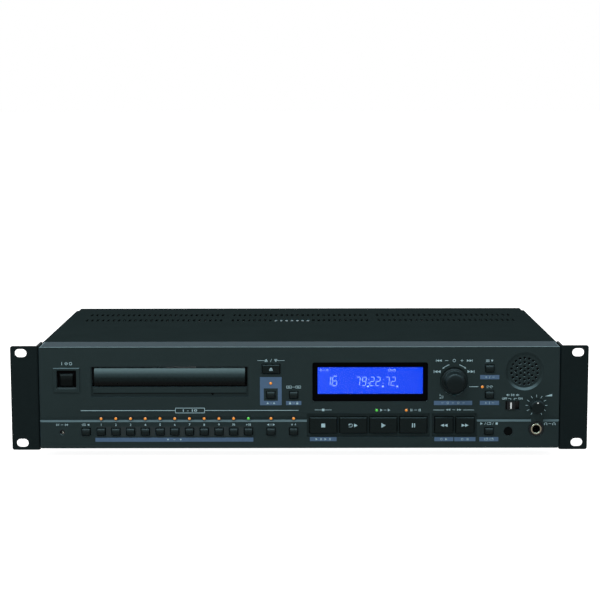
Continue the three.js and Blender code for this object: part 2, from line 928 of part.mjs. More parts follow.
function frontPanel() {
  const middle = (bodyFoot + panelTop) / 2;
  const face = roundedOutline([0, middle], bodyWidth, panelTop - bodyFoot, faceCorner);
  const shell = pillow(face, [0, panelDepth], faceRound, cornerSteps);
  const spare = block(
    [-rackWidth, rackWidth],
    [panelDepth, panelDepth + faceRound * 2 + overrun],
    [-earHeight, 2 * earHeight],
  );
  const hollow = block(
    around(0, bodyWidth - 2 * wallSkin),
    [faceSkin, panelDepth + overrun],
    [bodyFoot + wallSkin, panelTop - wallSkin],
  );
  const bezel = pillow(
    rectangle(bezelAt, bezelWidth, bezelHeight),
    [-bezelProud, faceSkin / 2],
    bezelBevel,
    1,
  );
  const posts = postShares.map((shares) =>
    barY(postRadius, [faceSkin / 2, boardFront - fit], spot(shares), smallSides),
  );
  const body = join(cut(shell, spare, hollow), bezel, ...posts);
  const pocketBack = block(
    around(bezelAt[0], powerWidth + 2 * keyGap),
    [-overrun, faceSkin + overrun],
    around(bezelAt[1], powerHeight + 2 * keyGap),
  );
  const slot = block(
    around(trayX, trayWidth + 2 * (doorOverhang + doorGapX)),
    [-overrun, faceSkin + overrun],
    [slotFoot, slotTop],
  );
  const ledge = block(
    around(trayX, trayWidth + 2 * doorOverhang + doorGapX),
    [ledgeSink, recessDepth + overrun],
    [slotFoot - ledgeDrop, slotFoot + sillGap],
  );
  const recess = cut(
    block(
      around(trayX, 2 * recessHalf),
      [-overrun, recessDepth],
      [slotFoot - recessDrop, slotTop + recessHead],
    ),
    ledge,
  );
  const [wellX, wellZ] = spot(wellShares);
  const dividerAt = dividerX();
  const wellSpan = around(wellX, across(wellWidthShare));
  const wells = [
    [wellSpan[0], dividerAt - dividerWidth / 2],
    [dividerAt + dividerWidth / 2, wellSpan[1]],
  ].map((span) => block(span, [-overrun, wellDepth], around(wellZ, wellHeight)));
  const gap = block(wellSpan, [-overrun, faceSkin / 2], around(wellZ, wellHeight));
  const fluting = cut(grooves(), gap);
  const lcdAt = spot(lcdShares);
  const lcdPocket = alongY(
    roundedOutline(lcdAt, lcdWidth + 2 * fit, lcdHeight + 2 * fit, lcdCorner + fit),
    [-overrun, lcdSink + lcdThick + fit],
  );
  const lcdView = block(
    around(lcdAt[0], lcdWidth - 2 * lcdLedge),
    [0, faceSkin + overrun],
    around(lcdAt[1], lcdHeight - 2 * lcdLedge),
  );
  const through = [-overrun, faceSkin + overrun];
  const rounds = [
    barY(dialRecessRadius, [-overrun, dialRecessDepth], dialAt),
    barY(bushRadius + fit, through, dialAt, smallSides),
    barY(levelShaftRadius + fit, through, spot(levelShares), smallSides),
    barY(irRadius + fit, through, spot(irShares), smallSides),
    barY(phonesCollarRadius + fit, through, spot(phonesShares)),
    barY(remoteRadius, through, spot(remoteShares), smallSides),
    barY(ejectRadius, through, spot(ejectShares), lampSides),
  ];
  const leverHole = alongY(
    rectangle(spot(switchShares), switchOpeningWidth, switchOpeningHeight),
    through,
  );
  const lampHoles = lamps.map((at) => barY(lampRadius + fit, through, at, lampSides));
  return cut(
    body,
    powerPocket(),
    pocketBack,
    recess,
    slot,
    ...wells,
    fluting,
    lcdPocket,
    lcdView,
    ...rounds,
    leverHole,
    ...speakerDish(),
    ...lampHoles,
    ...keys.map(keyHole),
  );
}

// Case: vented cover, chassis with folded lips, rear plate with its returns

function ventSlots() {
  const slots = [];
  for (const groupShare of ventGroupShares) {
    for (const rowShare of ventRowShares) {
      for (let index = 0; index < ventCount; index += 1) {
        const x = across(groupShare) + (index - (ventCount - 1) / 2) * ventPitch;
        const zs = [coverTop - coverSheet - overrun, coverTop + overrun];
        slots.push(block(around(x, ventWidth), around(bodyDepth * rowShare, ventLength), zs));
      }
    }
  }
  return slots;
}

function topCover() {
  const height = coverTop - bodyFoot;
  const outer = roundedOutline(
    [0, coverTop - height],
    2 * caseHalf,
    2 * height,
    coverBend,
  );
  const inner = roundedOutline(
    [0, coverTop - height],
    2 * (caseHalf - coverSheet),
    2 * (height - coverSheet),
    coverBend - coverSheet,
  );
  const skin = cut(
    alongY(outer, [coverFront, bodyDepth]),
    alongY(inner, [coverFront - overrun, bodyDepth + overrun]),
  );
  const below = block(
    around(0, 2 * caseHalf + overrun),
    [coverFront - overrun, bodyDepth + overrun],
    [bodyFoot - 2 * height, bodyFoot + fit],
  );
  const reliefs = [-1, 1].map((side) =>
    block(
      [side * (caseHalf - reliefInset), side * (caseHalf + overrun)].sort((a, b) => a - b),
      [sidesBack, bodyDepth + overrun],
      [-earHeight, coverTop + overrun],
    ),
  );
  return cut(skin, below, ...reliefs, ...ventSlots());
}

function standoffPosts(xs, ys) {
  const posts = [];
  for (const x of [xs[0] + standoffInset, xs[1] - standoffInset]) {
    for (const y of [ys[0] + standoffInset, ys[1] - standoffInset]) {
      posts.push(barZ(standoffRadius, [floorTop - sheet / 2, standTop - fit], [x, y], smallSides));
    }
  }
  return posts;
}

const mainX = mainShares.map(across);
const mainY = [bodyDepth * mainFrontShare, rearInside - mainBackGap];
const supplyX = supplyShares.map(across);
const supplyY = [frameBack + supplyFront, rearInside - mainBackGap];

function chassisSide(side) {
  const tabInner = tabHalf - sheet;
  const wallInner = chassisHalf - sheet;
  const bend = coverFront + sheet;
  const tab = block(
    [side * tabInner, side * tabHalf].sort((a, b) => a - b),
    [tabStart, bend],
    [bodyFoot + wallSkin + fit, panelTop - wallSkin - fit],
  );
  const web = block(
    [side * tabInner, side * chassisHalf].sort((a, b) => a - b),
    [coverFront + fit, bend],
    [bodyFoot, coverTop - coverSheet - fit],
  );
  const wall = block(
    [side * wallInner, side * chassisHalf].sort((a, b) => a - b),
    [coverFront + fit, sidesBack],
    [bodyFoot, coverTop - coverSheet - fit],
  );
  const lip = block(
    [side * (chassisHalf - lipWidth), side * chassisHalf].sort((a, b) => a - b),
    [coverFront + fit, sidesBack],
    [coverTop - coverSheet - fit - sheet, coverTop - coverSheet - fit],
  );
  return join(tab, web, wall, lip);
}

function floorVents() {
  const vents = [];
  for (const [xs, ys] of [
    [mainX, mainY],
    [supplyX, supplyY],
  ]) {
    const middle = [(xs[0] + xs[1]) / 2, (ys[0] + ys[1]) / 2];
    const room = xs[1] - xs[0] - 4 * standoffInset;
    const count = Math.min(floorVentCount, Math.floor(room / floorVentPitch));
    for (let index = 0; index < count; index += 1) {
      const x = middle[0] + (index - (count - 1) / 2) * floorVentPitch;
      const zs = [bodyFoot - overrun, floorTop + overrun];
      vents.push(block(around(x, floorVentWidth), around(middle[1], floorVentLength), zs));
    }
  }
  return vents;
}

function chassis() {
  const stripFoot = bodyFoot + wallSkin + fit;
  const floorSection = outline([
    [coverFront + fit, bodyFoot],
    [rearFace, bodyFoot],
    [rearFace, floorTop],
    [coverFront + fit + sheet, floorTop],
    [coverFront + fit + sheet, stripFoot + sheet],
    [stripStart, stripFoot + sheet],
    [stripStart, stripFoot],
    [coverFront + fit, stripFoot],
  ]);
  const floor = alongX(floorSection, around(0, 2 * (tabHalf - sheet)));
  const wide = block(
    around(0, 2 * chassisHalf),
    [coverFront + fit, sidesBack],
    [bodyFoot, floorTop],
  );
  return cut(
    join(
      floor,
      wide,
      chassisSide(-1),
      chassisSide(1),
      ...standoffPosts(mainX, mainY),
      ...standoffPosts(supplyX, supplyY),
    ),
    ...floorVents(),
  );
}

function balancedPlaces() {
  return balancedShares.map((share) => [across(share), up(balancedShareZ)]);
}

function jackPlaces() {
  const places = [];
  for (let index = 0; index < jackCount; index += 1) {
    const column = index % 2 === 0 ? -1 : 1;
    const row = index < 2 ? -1 : 1;
    places.push([jackX + (column * jackPitch) / 2, jackZ + (row * jackPitch) / 2]);
  }
  return places;
}

function rearPanel() {
  const half = caseHalf - reliefInset - fit;
  const inner = half - sheet;
  const plan = outline([
    [-half, sidesBack + fit],
    [-inner, sidesBack + fit],
    [-inner, rearInside],
    [inner, rearInside],
    [inner, sidesBack + fit],
    [half, sidesBack + fit],
    [half, rearFace],
    [-half, rearFace],
  ].reverse());
  const plate = alongZ(plan, [floorTop + fit, coverTop - coverSheet - fit]);
  const trim = block(
    around(0, 2 * bodyWidth),
    [-overrun, rearInside - rearReturn],
    [-earHeight, 2 * earHeight],
  );
  const ys = [rearInside - overrun, rearFace + overrun];
  const cuts = [
    ...jackPlaces().map((at) => barY(jackRadius + fit, ys, at, smallSides)),
    ...balancedPlaces().map((at) => barY(cupRadius + fit, ys, at)),
    alongY(rectangle([across(portShareX), up(portShareZ)], portWidth + 2 * fit, portHeight + 2 * fit), ys),
    alongY(rectangle(spot(inletShares), inletBodyWidth + 2 * fit, inletBodyHeight + 2 * fit), ys),
  ];
  return cut(plate, trim, ...cuts);
}

function foot() {
  return barZ([footRadius - footTaper, footRadius], [-footHeight, -fit], [0, 0]);
}

function footPlaces() {
  const x = across(footShareX);
  const front = bodyDepth * footShareFront;
  const rear = bodyDepth * footShareRear;
  return {
    foot_front_left: [-x, front],
    foot_front_right: [x, front],
    foot_rear_left: [-x, rear],
    foot_rear_right: [x, rear],
  };
}

// Keys: a chamfered cap, a flange that stops it behind the panel, and a stem into its switch

function keyBody(width, height, proud, stem, stemEnd) {
  const centre = [0, 0];
  const cap = pillow(rectangle(centre, width, height), [-proud, faceSkin + fit / 2], keyChamfer, 1);
  const trim = block(
    around(0, 2 * width),
    [faceSkin + fit + keyFlange, boardBack + powerSwitchDepth],
    around(0, 2 * height),
  );
  const flange = block(
    around(0, width + 2 * keyFlangeRim),
    [faceSkin + fit, faceSkin + fit + keyFlange],
    around(0, height + 2 * keyFlangeRim),
  );
  const shank = block(around(0, stem), [faceSkin + fit, stemEnd], around(0, stem));
  return join(cut(cap, trim), flange, shank);
}

function keyMesh(key) {
  const solid = keyBody(key.width, key.height, key.proud, stemSize, switchFront + stemEntry);
  return piece(key.name, solid, finishes.key, [key.at[0], 0, key.at[1]]);
}

const powerSwitchFace = boardFront - powerSwitchFront;

function powerKey() {
  const solid = keyBody(
    powerWidth,
    powerHeight,
    -powerSink,
    powerStem,
    powerSwitchFace + stemEntry,
  );
  return piece("power_key", solid, finishes.key, [bezelAt[0], 0, bezelAt[1]]);
}

// Front board with its soldered parts: tact switches, lamps, rotary controls, sensor, remote socket

function tactSwitch(at, travel) {
  const body = block(
    around(at[0], switchSize),
    [switchFront, boardFront + boardThick / 2],
    around(at[1], switchSize),
  );
  const well = block(
    around(at[0], stemSize + 2 * fit),
    [switchFront - overrun, switchFront + stemEntry + travel + fit],
    around(at[1], stemSize + 2 * fit),
  );
  return { body, well };
}

function powerSwitchBody() {
  const body = block(
    around(bezelAt[0], powerSwitch),
    [powerSwitchFace, powerSwitchFace + powerSwitchDepth],
    around(bezelAt[1], powerSwitch),
  );
  const well = block(
    around(bezelAt[0], powerStem + 2 * fit),
    [powerSwitchFace - overrun, powerSwitchFace + stemEntry + powerTravel + fit],
    around(bezelAt[1], powerStem + 2 * fit),
  );
  return { body, well };
}

function boardOutline() {
  const low = bodyFoot + wallSkin + boardEdge;
  const high = panelTop - wallSkin - boardEdge;
  const notchHalf = trayHalf + doorOverhang + doorGapX;
  const notchFoot = trayFoot - railThick - fit;
  const [speakerX, speakerZ] = spot(speakerShares);
  const speakerLeft = speakerX - driverRadius - fit;
  const speakerFoot = speakerZ - driverRadius - fit;
  const [phonesX, phonesZ] = spot(phonesShares);
  const phonesLeft = phonesX - phonesBody / 2 - fit;
  const phonesTop = phonesZ + phonesBody / 2 + fit;
  return outline([
    [-boardHalf, low],
    [phonesLeft, low],
    [phonesLeft, phonesTop],
    [boardHalf, phonesTop],
    [boardHalf, speakerFoot],
    [speakerLeft, speakerFoot],
    [speakerLeft, high],
    [trayX + notchHalf, high],
    [trayX + notchHalf, notchFoot],
    [trayX - notchHalf, notchFoot],
    [trayX - notchHalf, high],
    [-boardHalf, high],
  ]);
}

function frontBoard() {
  const sheetBoard = alongY(boardOutline(), [boardFront, boardBack]);
  const rooted = (depth) => [depth, boardFront + boardThick / 2];
  const switches = [...keys.map((key) => tactSwitch(key.at, key.travel)), powerSwitchBody()];
  const lampBodies = lamps.map((at) => barY(lampRadius, rooted(-lampProud), at, lampSides));
  const encoderFront = boardFront - encoderHeight;
  const encoder = join(
    block(around(dialAt[0], encoderSize), rooted(encoderFront), around(dialAt[1], encoderSize)),
    barY(bushRadius, [bushFront, encoderFront + overrun], dialAt, smallSides),
  );
  const spindleWell = barY(
    spindleRadius + fit,
    [-overrun, encoderFront + spindleEntry + spindlePush + fit],
    dialAt,
    smallSides,
  );
  const levelAt = spot(levelShares);
  const pot = join(
    barY(potRadius, rooted(boardFront - potHeight), levelAt, roundSides),
    barY(levelShaftRadius, rooted(levelCap + fit - levelProud), levelAt, smallSides),
  );
  const slide = block(
    around(across(switchShares[0]), slideCaseWidth),
    rooted(slideCaseFront + fit + slideStemEntry),
    around(leverAt[1], slideCaseHeight),
  );
  const slideWell = block(
    around(across(switchShares[0]), slideStem + leverTravel + 2 * fit),
    [0, slideCaseFront + 2 * slideStemEntry + 2 * fit],
    around(leverAt[1], slideStem + 2 * fit),
  );
  const sensor = block(
    around(across(irShares[0]), irSensor),
    rooted(faceSkin + irRimThick + 2 * fit),
    around(up(irShares[1]), irSensor),
  );
  const remoteAt = spot(remoteShares);
  const remote = join(
    block(around(remoteAt[0], remoteBody), rooted(faceSkin + fit), around(remoteAt[1], remoteBody)),
    barY(remoteBarrel, rooted(faceSkin / 2), remoteAt, smallSides),
  );
  const remoteBore = barY(remoteBoreRadius, [-overrun, boardFront], remoteAt, lampSides);
  return cut(
    join(
      sheetBoard,
      ...switches.map((item) => item.body),
      ...lampBodies,
      encoder,
      pot,
      slide,
      sensor,
      remote,
    ),
    ...switches.map((item) => item.well),
    spindleWell,
    slideWell,
    remoteBore,
  );
}

// Knobs and the switch lever

function pushSpindle() {
  const back = boardFront - encoderHeight + spindleEntry;
  return barY(spindleRadius, [knobCap + fit - dialProud, back], [0, 0], smallSides);
}

function dialKnob() {
  const skirtBack = dialRecessDepth - spindlePush - fit;
  const skirtFront = skirtBack - dialSkirtThick;
  const body = turnedY(
    [
      [0, -dialProud],
      [dialTopRadius - dialChamfer, -dialProud],
      [dialTopRadius, dialChamfer - dialProud],
      [dialRootRadius, skirtFront],
      [dialSkirtRadius - dialChamfer, skirtFront],
      [dialSkirtRadius, skirtFront + dialChamfer],
      [dialSkirtRadius, skirtBack],
      [0, skirtBack],
    ],
    [0, 0],
    2 * roundSides,
  );
  const bore = barY(
    spindleRadius + fit,
    [knobCap - dialProud, skirtBack + overrun],
    [0, 0],
    smallSides,
  );
  const grip = alongY(flutedOutline(dialRootRadius, fluteDepth, dialFlutes), [
    -dialProud - overrun,
    skirtBack + overrun,
  ]);
  const skirt = barY(
    dialSkirtRadius + overrun,
    [skirtFront - dialChamfer, skirtBack + overrun],
    [0, 0],
  );
  return cut(body.intersect(join(grip, skirt)), bore);
}

function levelKnob() {
  const grip = alongY(flutedOutline(levelRadius, fluteDepth, levelFlutes), [-levelProud, -levelLift]);
  const taper = barY([levelTopRadius, levelRadius], [-levelProud, -levelLift], [0, 0], 2 * roundSides);
  const bore = barY(levelShaftRadius + fit, [levelCap - levelProud, 0], [0, 0], smallSides);
  return cut(grip.intersect(taper), bore);
}

function switchLever() {
  const height = switchOpeningHeight - 2 * fit;
  const cap = block(around(0, leverWidth), [-leverProud, slideCaseFront], around(0, height));
  const flange = block(
    around(0, leverWidth + 2 * leverFlange),
    [faceSkin + fit, faceSkin + fit + keyFlange],
    around(0, height),
  );
  const stemBack = slideCaseFront + 2 * slideStemEntry + fit;
  const stem = block(around(0, slideStem), [faceSkin, stemBack], around(0, slideStem));
  return join(cap, flange, stem);
}

// Display window and module, sensor window, phones socket, speaker driver

function lcdWindow() {
  const shape = roundedOutline(spot(lcdShares), lcdWidth, lcdHeight, lcdCorner);
  return alongY(shape, [lcdSink, lcdSink + lcdThick]);
}

function lcdModule() {
  const [x, z] = spot(lcdShares);
  return block(
    around(x, lcdWidth - 2 * lcdModuleEdge),
    [faceSkin + fit, boardFront - fit],
    around(z, lcdHeight - 2 * lcdModuleEdge),
  );
}

function irWindow() {
  const at = spot(irShares);
  return join(
    barY(irRadius, [0, faceSkin + fit + irRimThick / 2], at, roundSides),
    barY(irRadius + irRim, [faceSkin + fit, faceSkin + fit + irRimThick], at, roundSides),
  );
}

function phonesJack() {
  const at = spot(phonesShares);
  const collar = barY(phonesCollarRadius, [-phonesCollarProud, faceSkin + 2 * fit], at);
  const ring = barY(phonesRingRadius, [-phonesRingProud, faceSkin], at);
  const body = block(
    around(at[0], phonesBody),
    [faceSkin + fit, faceSkin + fit + phonesBodyDepth],
    around(at[1], phonesBody),
  );
  const bore = barY(phonesBoreRadius, [-overrun, phonesBoreDepth - phonesRingProud], at, smallSides);
  return cut(join(collar, ring, body), bore);
}

function speakerDriver() {
  const front = faceSkin + fit;
  const back = front + driverDepth;
  const neck = front + driverRim + driverCone;
  return turnedY(
    [
      [0, neck],
      [driverBackRadius / 2, neck],
      [driverRadius - driverRim, front],
      [driverRadius, front],
      [driverRadius, front + driverRim],
      [driverBackRadius, back - driverCone],
      [driverBackRadius, back],
      [0, back],
    ],
    spot(speakerShares),
  );
}

// Tray, door and loader

function discTray() {
  const length = trayBack - trayFront;
  const plate = alongZ(
    roundedOutline([trayX, trayFront + length / 2], trayWidth, length, trayCorner),
    [trayFoot, trayTop],
  );
  const square = block(around(trayX, trayWidth), [trayFront, trayFront + trayCorner], [trayFoot, trayTop]);
  const nose = block(
    around(trayX, trayWidth),
    [trayFront, trayFront + trayNose],
    [trayFoot, trayFoot + trayNoseHeight],
  );
  const centre = [trayX, discY];
  const largeBed = barZ(discRadius + discPlay, [discBed, trayTop + overrun], centre, 3 * roundSides);
  const smallBed = barZ(smallDiscRadius, [discBed - smallDiscDrop, trayTop], centre, 2 * roundSides);
  const hubHole = barZ(hubHoleRadius, [trayFoot - overrun, trayTop], centre);
  const keyhole = block(
    around(trayX, keyholeWidth),
    [discY, trayBack + overrun],
    [trayFoot - overrun, trayTop + overrun],
  );
  return cut(join(plate, square, nose), largeBed, smallBed, hubHole, keyhole);
}

function trayDoor() {
  return pillow(
    rectangle([trayX, doorMiddle], trayWidth + 2 * doorOverhang, doorHeight),
    [0, doorThick - keyChamfer],
    keyChamfer,
    1,
  ).intersect(
    block(
      around(trayX, 2 * trayWidth),
      [0, doorThick],
      around(doorMiddle, 2 * doorHeight),
    ),
  );
}

function frameSection() {
  const railTop = trayFoot - fit;
  const guideFoot = trayTop + fit;
  const half = [
    [0, frameFoot],
    [frameHalf + frameWall, frameFoot],
    [frameHalf + frameWall, frameTop],
    [frameHalf, frameTop],
    [frameHalf, guideFoot + guideThick],
    [frameHalf - guideWidth, guideFoot + guideThick],
    [frameHalf - guideWidth, guideFoot],
    [frameHalf, guideFoot],
    [frameHalf, railTop],
    [frameHalf - railWidth, railTop],
    [frameHalf - railWidth, railTop - railThick],
    [frameHalf, railTop - railThick],
    [frameHalf, frameFoot + frameWall],
    [0, frameFoot + frameWall],
  ];
  const mirrored = half.slice(1, -1).reverse();
  return outline([
    ...half.map(([x, z]) => [trayX + x, z]),
    ...mirrored.map(([x, z]) => [trayX - x, z]),
  ]);
}

function loaderFrame() {
  const rails = alongY(frameSection(), [frameStart, frameBack]);
  const rear = block(
    around(trayX, 2 * frameHalf + frameWall),
    [frameBack - frameWall, frameBack],
    [frameFoot, trayFoot],
  );
  const windowBack = pivotY + bearingDepth / 2;
  const opening = block(
    around(trayX, 2 * windowHalf),
    [windowFront, windowBack],
    [frameFoot - overrun, frameFoot + frameWall + overrun],
  );
  const legs = [];
  const bearings = [];
  for (const side of [-1, 1]) {
    const legX = trayX + side * (frameHalf - legSize / 2);
    for (const y of [frameStart + legSize + panelDepth / 2, frameBack - legSize]) {
      legs.push(block(around(legX, legSize), around(y, legSize), [floorTop + fit, frameFoot + frameWall]));
    }
    bearings.push(
      block(
        around(trayX + side * (windowHalf + bearingWidth / 2), bearingWidth),
        around(pivotY, bearingDepth),
        [frameFoot, frameFoot + bearingHeight],
      ),
    );
  }
  const pinHoles = barX(
    trunnionRadius + fit,
    around(trayX, 2 * (windowHalf + bearingWidth + overrun)),
    [pivotY, pivotZ],
  );
  return cut(join(cut(join(rails, rear), opening), ...legs, ...bearings), pinHoles);
}

// The traverse is drawn level, about its pivot line, and then tilted as one group

const discReach = discY - pivotY;
const deckUp = deckThick / 2;

function traverseDeck() {
  const plate = alongZ(
    roundedOutline(
      [0, (deckFront + frameStart - pivotY) / 2 + deckThick],
      2 * deckHalf,
      pivotY - deckFront - frameStart + 2 * deckThick,
      trayCorner,
    ),
    [-deckUp, deckUp],
  );
  const motor = barZ(motorRadius, [-deckUp - motorHeight, 0], [0, discReach]);
  const shaftHole = barZ(
    spinShaftRadius + fit,
    [-deckUp - motorHeight / 2, deckUp + overrun],
    [0, discReach],
    smallSides,
  );
  const trunnions = barX(trunnionRadius, around(0, 2 * (deckHalf + trunnionReach)), [0, 0]);
  const rodSpan = [
    discReach + sledInner - sledLength / 2 - rodEnd,
    discReach + sledInner + sledTravel + sledLength / 2 + rodEnd,
  ];
  const window = block(
    around(0, 2 * (sledKeelHalf + rodEnd)),
    [rodSpan[0], rodSpan[1]],
    [-deckThick, deckThick],
  );
  const guides = [];
  for (const side of [-1, 1]) {
    const x = side * rodOffset;
    guides.push(
      barY(rodRadius, [rodSpan[0] - rodPillar / 2, rodSpan[1] + rodPillar / 2], [x, deckUp + rodLift], smallSides),
    );
    for (const y of [rodSpan[0] - rodPillar / 2, rodSpan[1] + rodPillar / 2]) {
      guides.push(
        block(around(x, rodPillarWidth), around(y, rodPillar), [0, deckUp + rodLift + 1.5 * rodRadius]),
      );
    }
  }
  return join(cut(join(plate, motor), shaftHole, window), trunnions, ...guides);
}

function turntable() {
  const top = discBed + discLift - pivotZ;
  const foot = -deckUp - motorHeight / 2 + fit;
  return turnedZ(
    [
      [0, foot],
      [spinShaftRadius, foot],
      [spinShaftRadius, deckUp + fit],
      [neckRadius, deckUp + fit],
      [neckRadius, top - turntableThick],
      [turntableRadius, top - turntableThick],
      [turntableRadius, top],
      [hubRadius, top],
      [hubRadius - hubTaper, top + hubHeight],
      [0, top + hubHeight],
    ],
    [0, 0],
  );
}

function pickupSled() {
  const foot = deckUp + sledLift;
  const top = foot + sledThick;
  const lens = discBed - lensTop - pivotZ;
  const body = block(around(0, 2 * sledHalf), around(0, sledLength), [foot, top]);
  const keel = block(
    around(0, 2 * sledKeelHalf),
    around(0, sledLength - 2 * rodEnd),
    [foot - sledKeelDepth, top],
  );
  const housing = block(
    around(0, lensHousing),
    around(0, lensHousing),
    [foot, top + lensHousingHeight],
  );
  const eye = barZ(lensRadius, [top, lens], [0, 0], smallSides);
  const bores = [-1, 1].map((side) =>
    barY(rodRadius + fit, around(0, 2 * sledLength), [side * rodOffset, deckUp + rodLift], smallSides),
  );
  return cut(join(body, keel, housing, eye), ...bores);
}

function clampBridge() {
  const foot = frameTop + fit;
  const section = outline([
    [discY - bridgeLength / 2, foot],
    [discY + bridgeLength / 2, foot],
    [discY + bridgeLength / 2, foot + bridgeLip],
    [discY + bridgeLength / 2 - bridgeSheet, foot + bridgeLip],
    [discY + bridgeLength / 2 - bridgeSheet, foot + bridgeSheet],
    [discY - bridgeLength / 2 + bridgeSheet, foot + bridgeSheet],
    [discY - bridgeLength / 2 + bridgeSheet, foot + bridgeLip],
    [discY - bridgeLength / 2, foot + bridgeLip],
  ]);
  const channel = alongX(section, around(trayX, 2 * (frameHalf + frameWall)));
  const hole = barZ(clampHoleRadius, [foot - overrun, foot + bridgeLip], [trayX, discY]);
  return cut(channel, hole);
}

function clampPuck() {
  const seat = frameTop + fit + bridgeSheet + fit;
  const padFoot = trayTop + clampPadLift;
  const neck = clampHoleRadius - clampNeckGap;
  return turnedZ(
    [
      [0, padFoot],
      [clampPadRadius, padFoot],
      [clampPadRadius, padFoot + clampPad],
      [neck, padFoot + clampPad],
      [neck, seat],
      [clampFlangeRadius, seat],
      [clampFlangeRadius, seat + clampFlange],
      [0, seat + clampFlange],
    ],
    [0, 0],
  );
}

// Boards on the floor and the sockets at the back

function mainBoard() {
  const board = block(mainX, mainY, [standTop, standTop + boardThick]);
  const width = mainX[1] - mainX[0];
  const depth = mainY[1] - mainY[0];
  const top = standTop + boardThick;
  const rooted = standTop + boardThick / 2;
  const chips = chipPlaceShares.map(([shareX, shareY, shareW, shareD]) =>
    block(
      around(mainX[0] + width * shareX, width * shareW),
      around(mainY[0] + depth * shareY, depth * shareD),
      [rooted, top + chipHeight],
    ),
  );
  const cans = canPlaceShares.map(([shareX, shareY]) =>
    barZ(
      canRadius,
      [rooted, top + canHeight],
      [mainX[0] + width * shareX, mainY[0] + depth * shareY],
      smallSides,
    ),
  );
  const jackBody = block(
    around(jackX, jackPitch + jackBlock),
    [rearInside - fit - jackBlockDepth, rearInside - fit],
    [rooted, jackZ + (jackPitch + jackBlock) / 2],
  );
  const barrels = jackPlaces().map((at) =>
    barY(jackRadius, [rearInside - jackBlockDepth / 2, rearFace + jackProud], at, smallSides),
  );
  const bores = jackPlaces().map((at) =>
    barY(jackBore, [rearFace - jackProud, rearFace + 2 * jackProud], at, lampSides),
  );
  const portX = across(portShareX);
  const portZ = up(portShareZ);
  const portBody = block(
    around(portX, portBlockWidth),
    [rearInside - fit - portBlockDepth, rearInside - fit],
    [rooted, portZ + portBlockHeight / 2],
  );
  const shell = block(
    around(portX, portWidth),
    [rearInside - portBlockDepth / 2, rearFace + portProud],
    around(portZ, portHeight),
  );
  return cut(join(board, ...chips, ...cans, jackBody, ...barrels, portBody, shell), ...bores);
}

function powerSupply() {
  const board = block(supplyX, supplyY, [standTop, standTop + boardThick]);
  const width = supplyX[1] - supplyX[0];
  const depth = supplyY[1] - supplyY[0];
  const rooted = standTop + boardThick / 2;
  const coreX = supplyX[0] + width * coreShareX;
  const coreY = supplyY[0] + depth / 2;
  const coreWidth = width * coreWidthShare;
  const core = block(
    around(coreX, coreWidth),
    around(coreY, depth * coreDepthShare),
    [rooted, rooted + coreHeight],
  );
  const coil = block(
    around(coreX, coreWidth - 2 * coilInset),
    around(coreY, depth * coilDepthShare),
    [rooted, rooted + coreHeight - coilInset],
  );
  const reservoirs = reservoirShares.map((share) =>
    barZ(
      depth * reservoirShare,
      [rooted, rooted + reservoirHeight],
      [supplyX[0] + width * share, supplyY[0] + depth * reservoirShareY],
    ),
  );
  return join(board, core, coil, ...reservoirs);
}

function balancedSocket() {
  const back = rearFace + fit;
  const lip = back + balancedFlange;
  const flange = alongY(
    roundedOutline([0, 0], balancedWidth, balancedHeight, balancedCorner),
    [back, lip],
  );
  const cup = barY(cupRadius, [lip - cupBodyDepth, lip], [0, 0]);
  const bore = barY(cupBore, [lip - cupBoreDepth, lip + overrun], [0, 0]);
  const contacts = [];
  for (let index = 0; index < contactCount; index += 1) {
    const angle = Math.PI / 2 + (index / contactCount) * 2 * Math.PI;
    const at = [contactCircle * Math.cos(angle), contactCircle * Math.sin(angle)];
    contacts.push(barY(contactRadius, [lip - cupBoreDepth - overrun, lip - contactSink], at, lampSides));
  }
  return join(cut(join(flange, cup), bore), ...contacts);
}

function powerInlet() {
  const at = spot(inletShares);
  const back = rearFace + fit;
  const lip = back + inletFlange;
  const flange = alongY(roundedOutline(at, inletWidth, inletHeight, inletFlange), [back, lip]);
  const body = alongY(rectangle(at, inletBodyWidth, inletBodyHeight), [lip - inletBodyDepth, lip]);
  const half = [inletBoreWidth / 2, inletBoreHeight / 2];
  const mouth = outline([
    [at[0] - half[0], at[1] - half[1]],
    [at[0] + half[0], at[1] - half[1]],
    [at[0] + half[0], at[1] + half[1] - inletCorner],
    [at[0] + half[0] - inletCorner, at[1] + half[1]],
    [at[0] - half[0] + inletCorner, at[1] + half[1]],
    [at[0] - half[0], at[1] + half[1] - inletCorner],
  ]);
  const bore = alongY(mouth, [lip - inletBoreDepth, lip + overrun]);
  const blades = [-1, 0, 1].map((side) =>
    block(
      around(at[0] + side * bladePitch, bladeThick),
      [lip - inletBoreDepth - overrun, lip - inletBoreDepth + bladeLength],
      around(at[1] + (side === 0 ? bladeStep : -bladeStep), bladeHeight),
    ),
  );
  return join(cut(join(flange, body), bore), ...blades);
}

// Assembly

const player = new THREE.Group();

player.add(
  piece("front_panel", frontPanel(), finishes.panel),
  piece("rack_ear_left", ear(-1), finishes.ear),
  piece("rack_ear_right", ear(1), finishes.ear),
  piece("top_cover", topCover(), finishes.paint),
  piece("chassis", chassis(), finishes.steel),
  piece("rear_panel", rearPanel(), finishes.steel),
  piece("lcd_window", lcdWindow(), finishes.glass),
  piece("lcd_module", lcdModule(), finishes.display),
  piece("front_board", frontBoard(), finishes.board),
  piece("ir_window", irWindow(), finishes.glass),
  piece("phones_jack", phonesJack(), finishes.nickel),
  piece("speaker_driver", speakerDriver(), finishes.plastic),
  piece("loader_frame", loaderFrame(), finishes.plastic),
  piece("clamp_bridge", clampBridge(), finishes.steel),
  piece("main_board", mainBoard(), finishes.board),
  piece("power_supply", powerSupply(), finishes.board),
  piece("power_inlet", powerInlet(), finishes.plastic),
  piece("disc_tray", discTray(), finishes.plastic),
  piece("tray_door", trayDoor(), finishes.gloss),
);

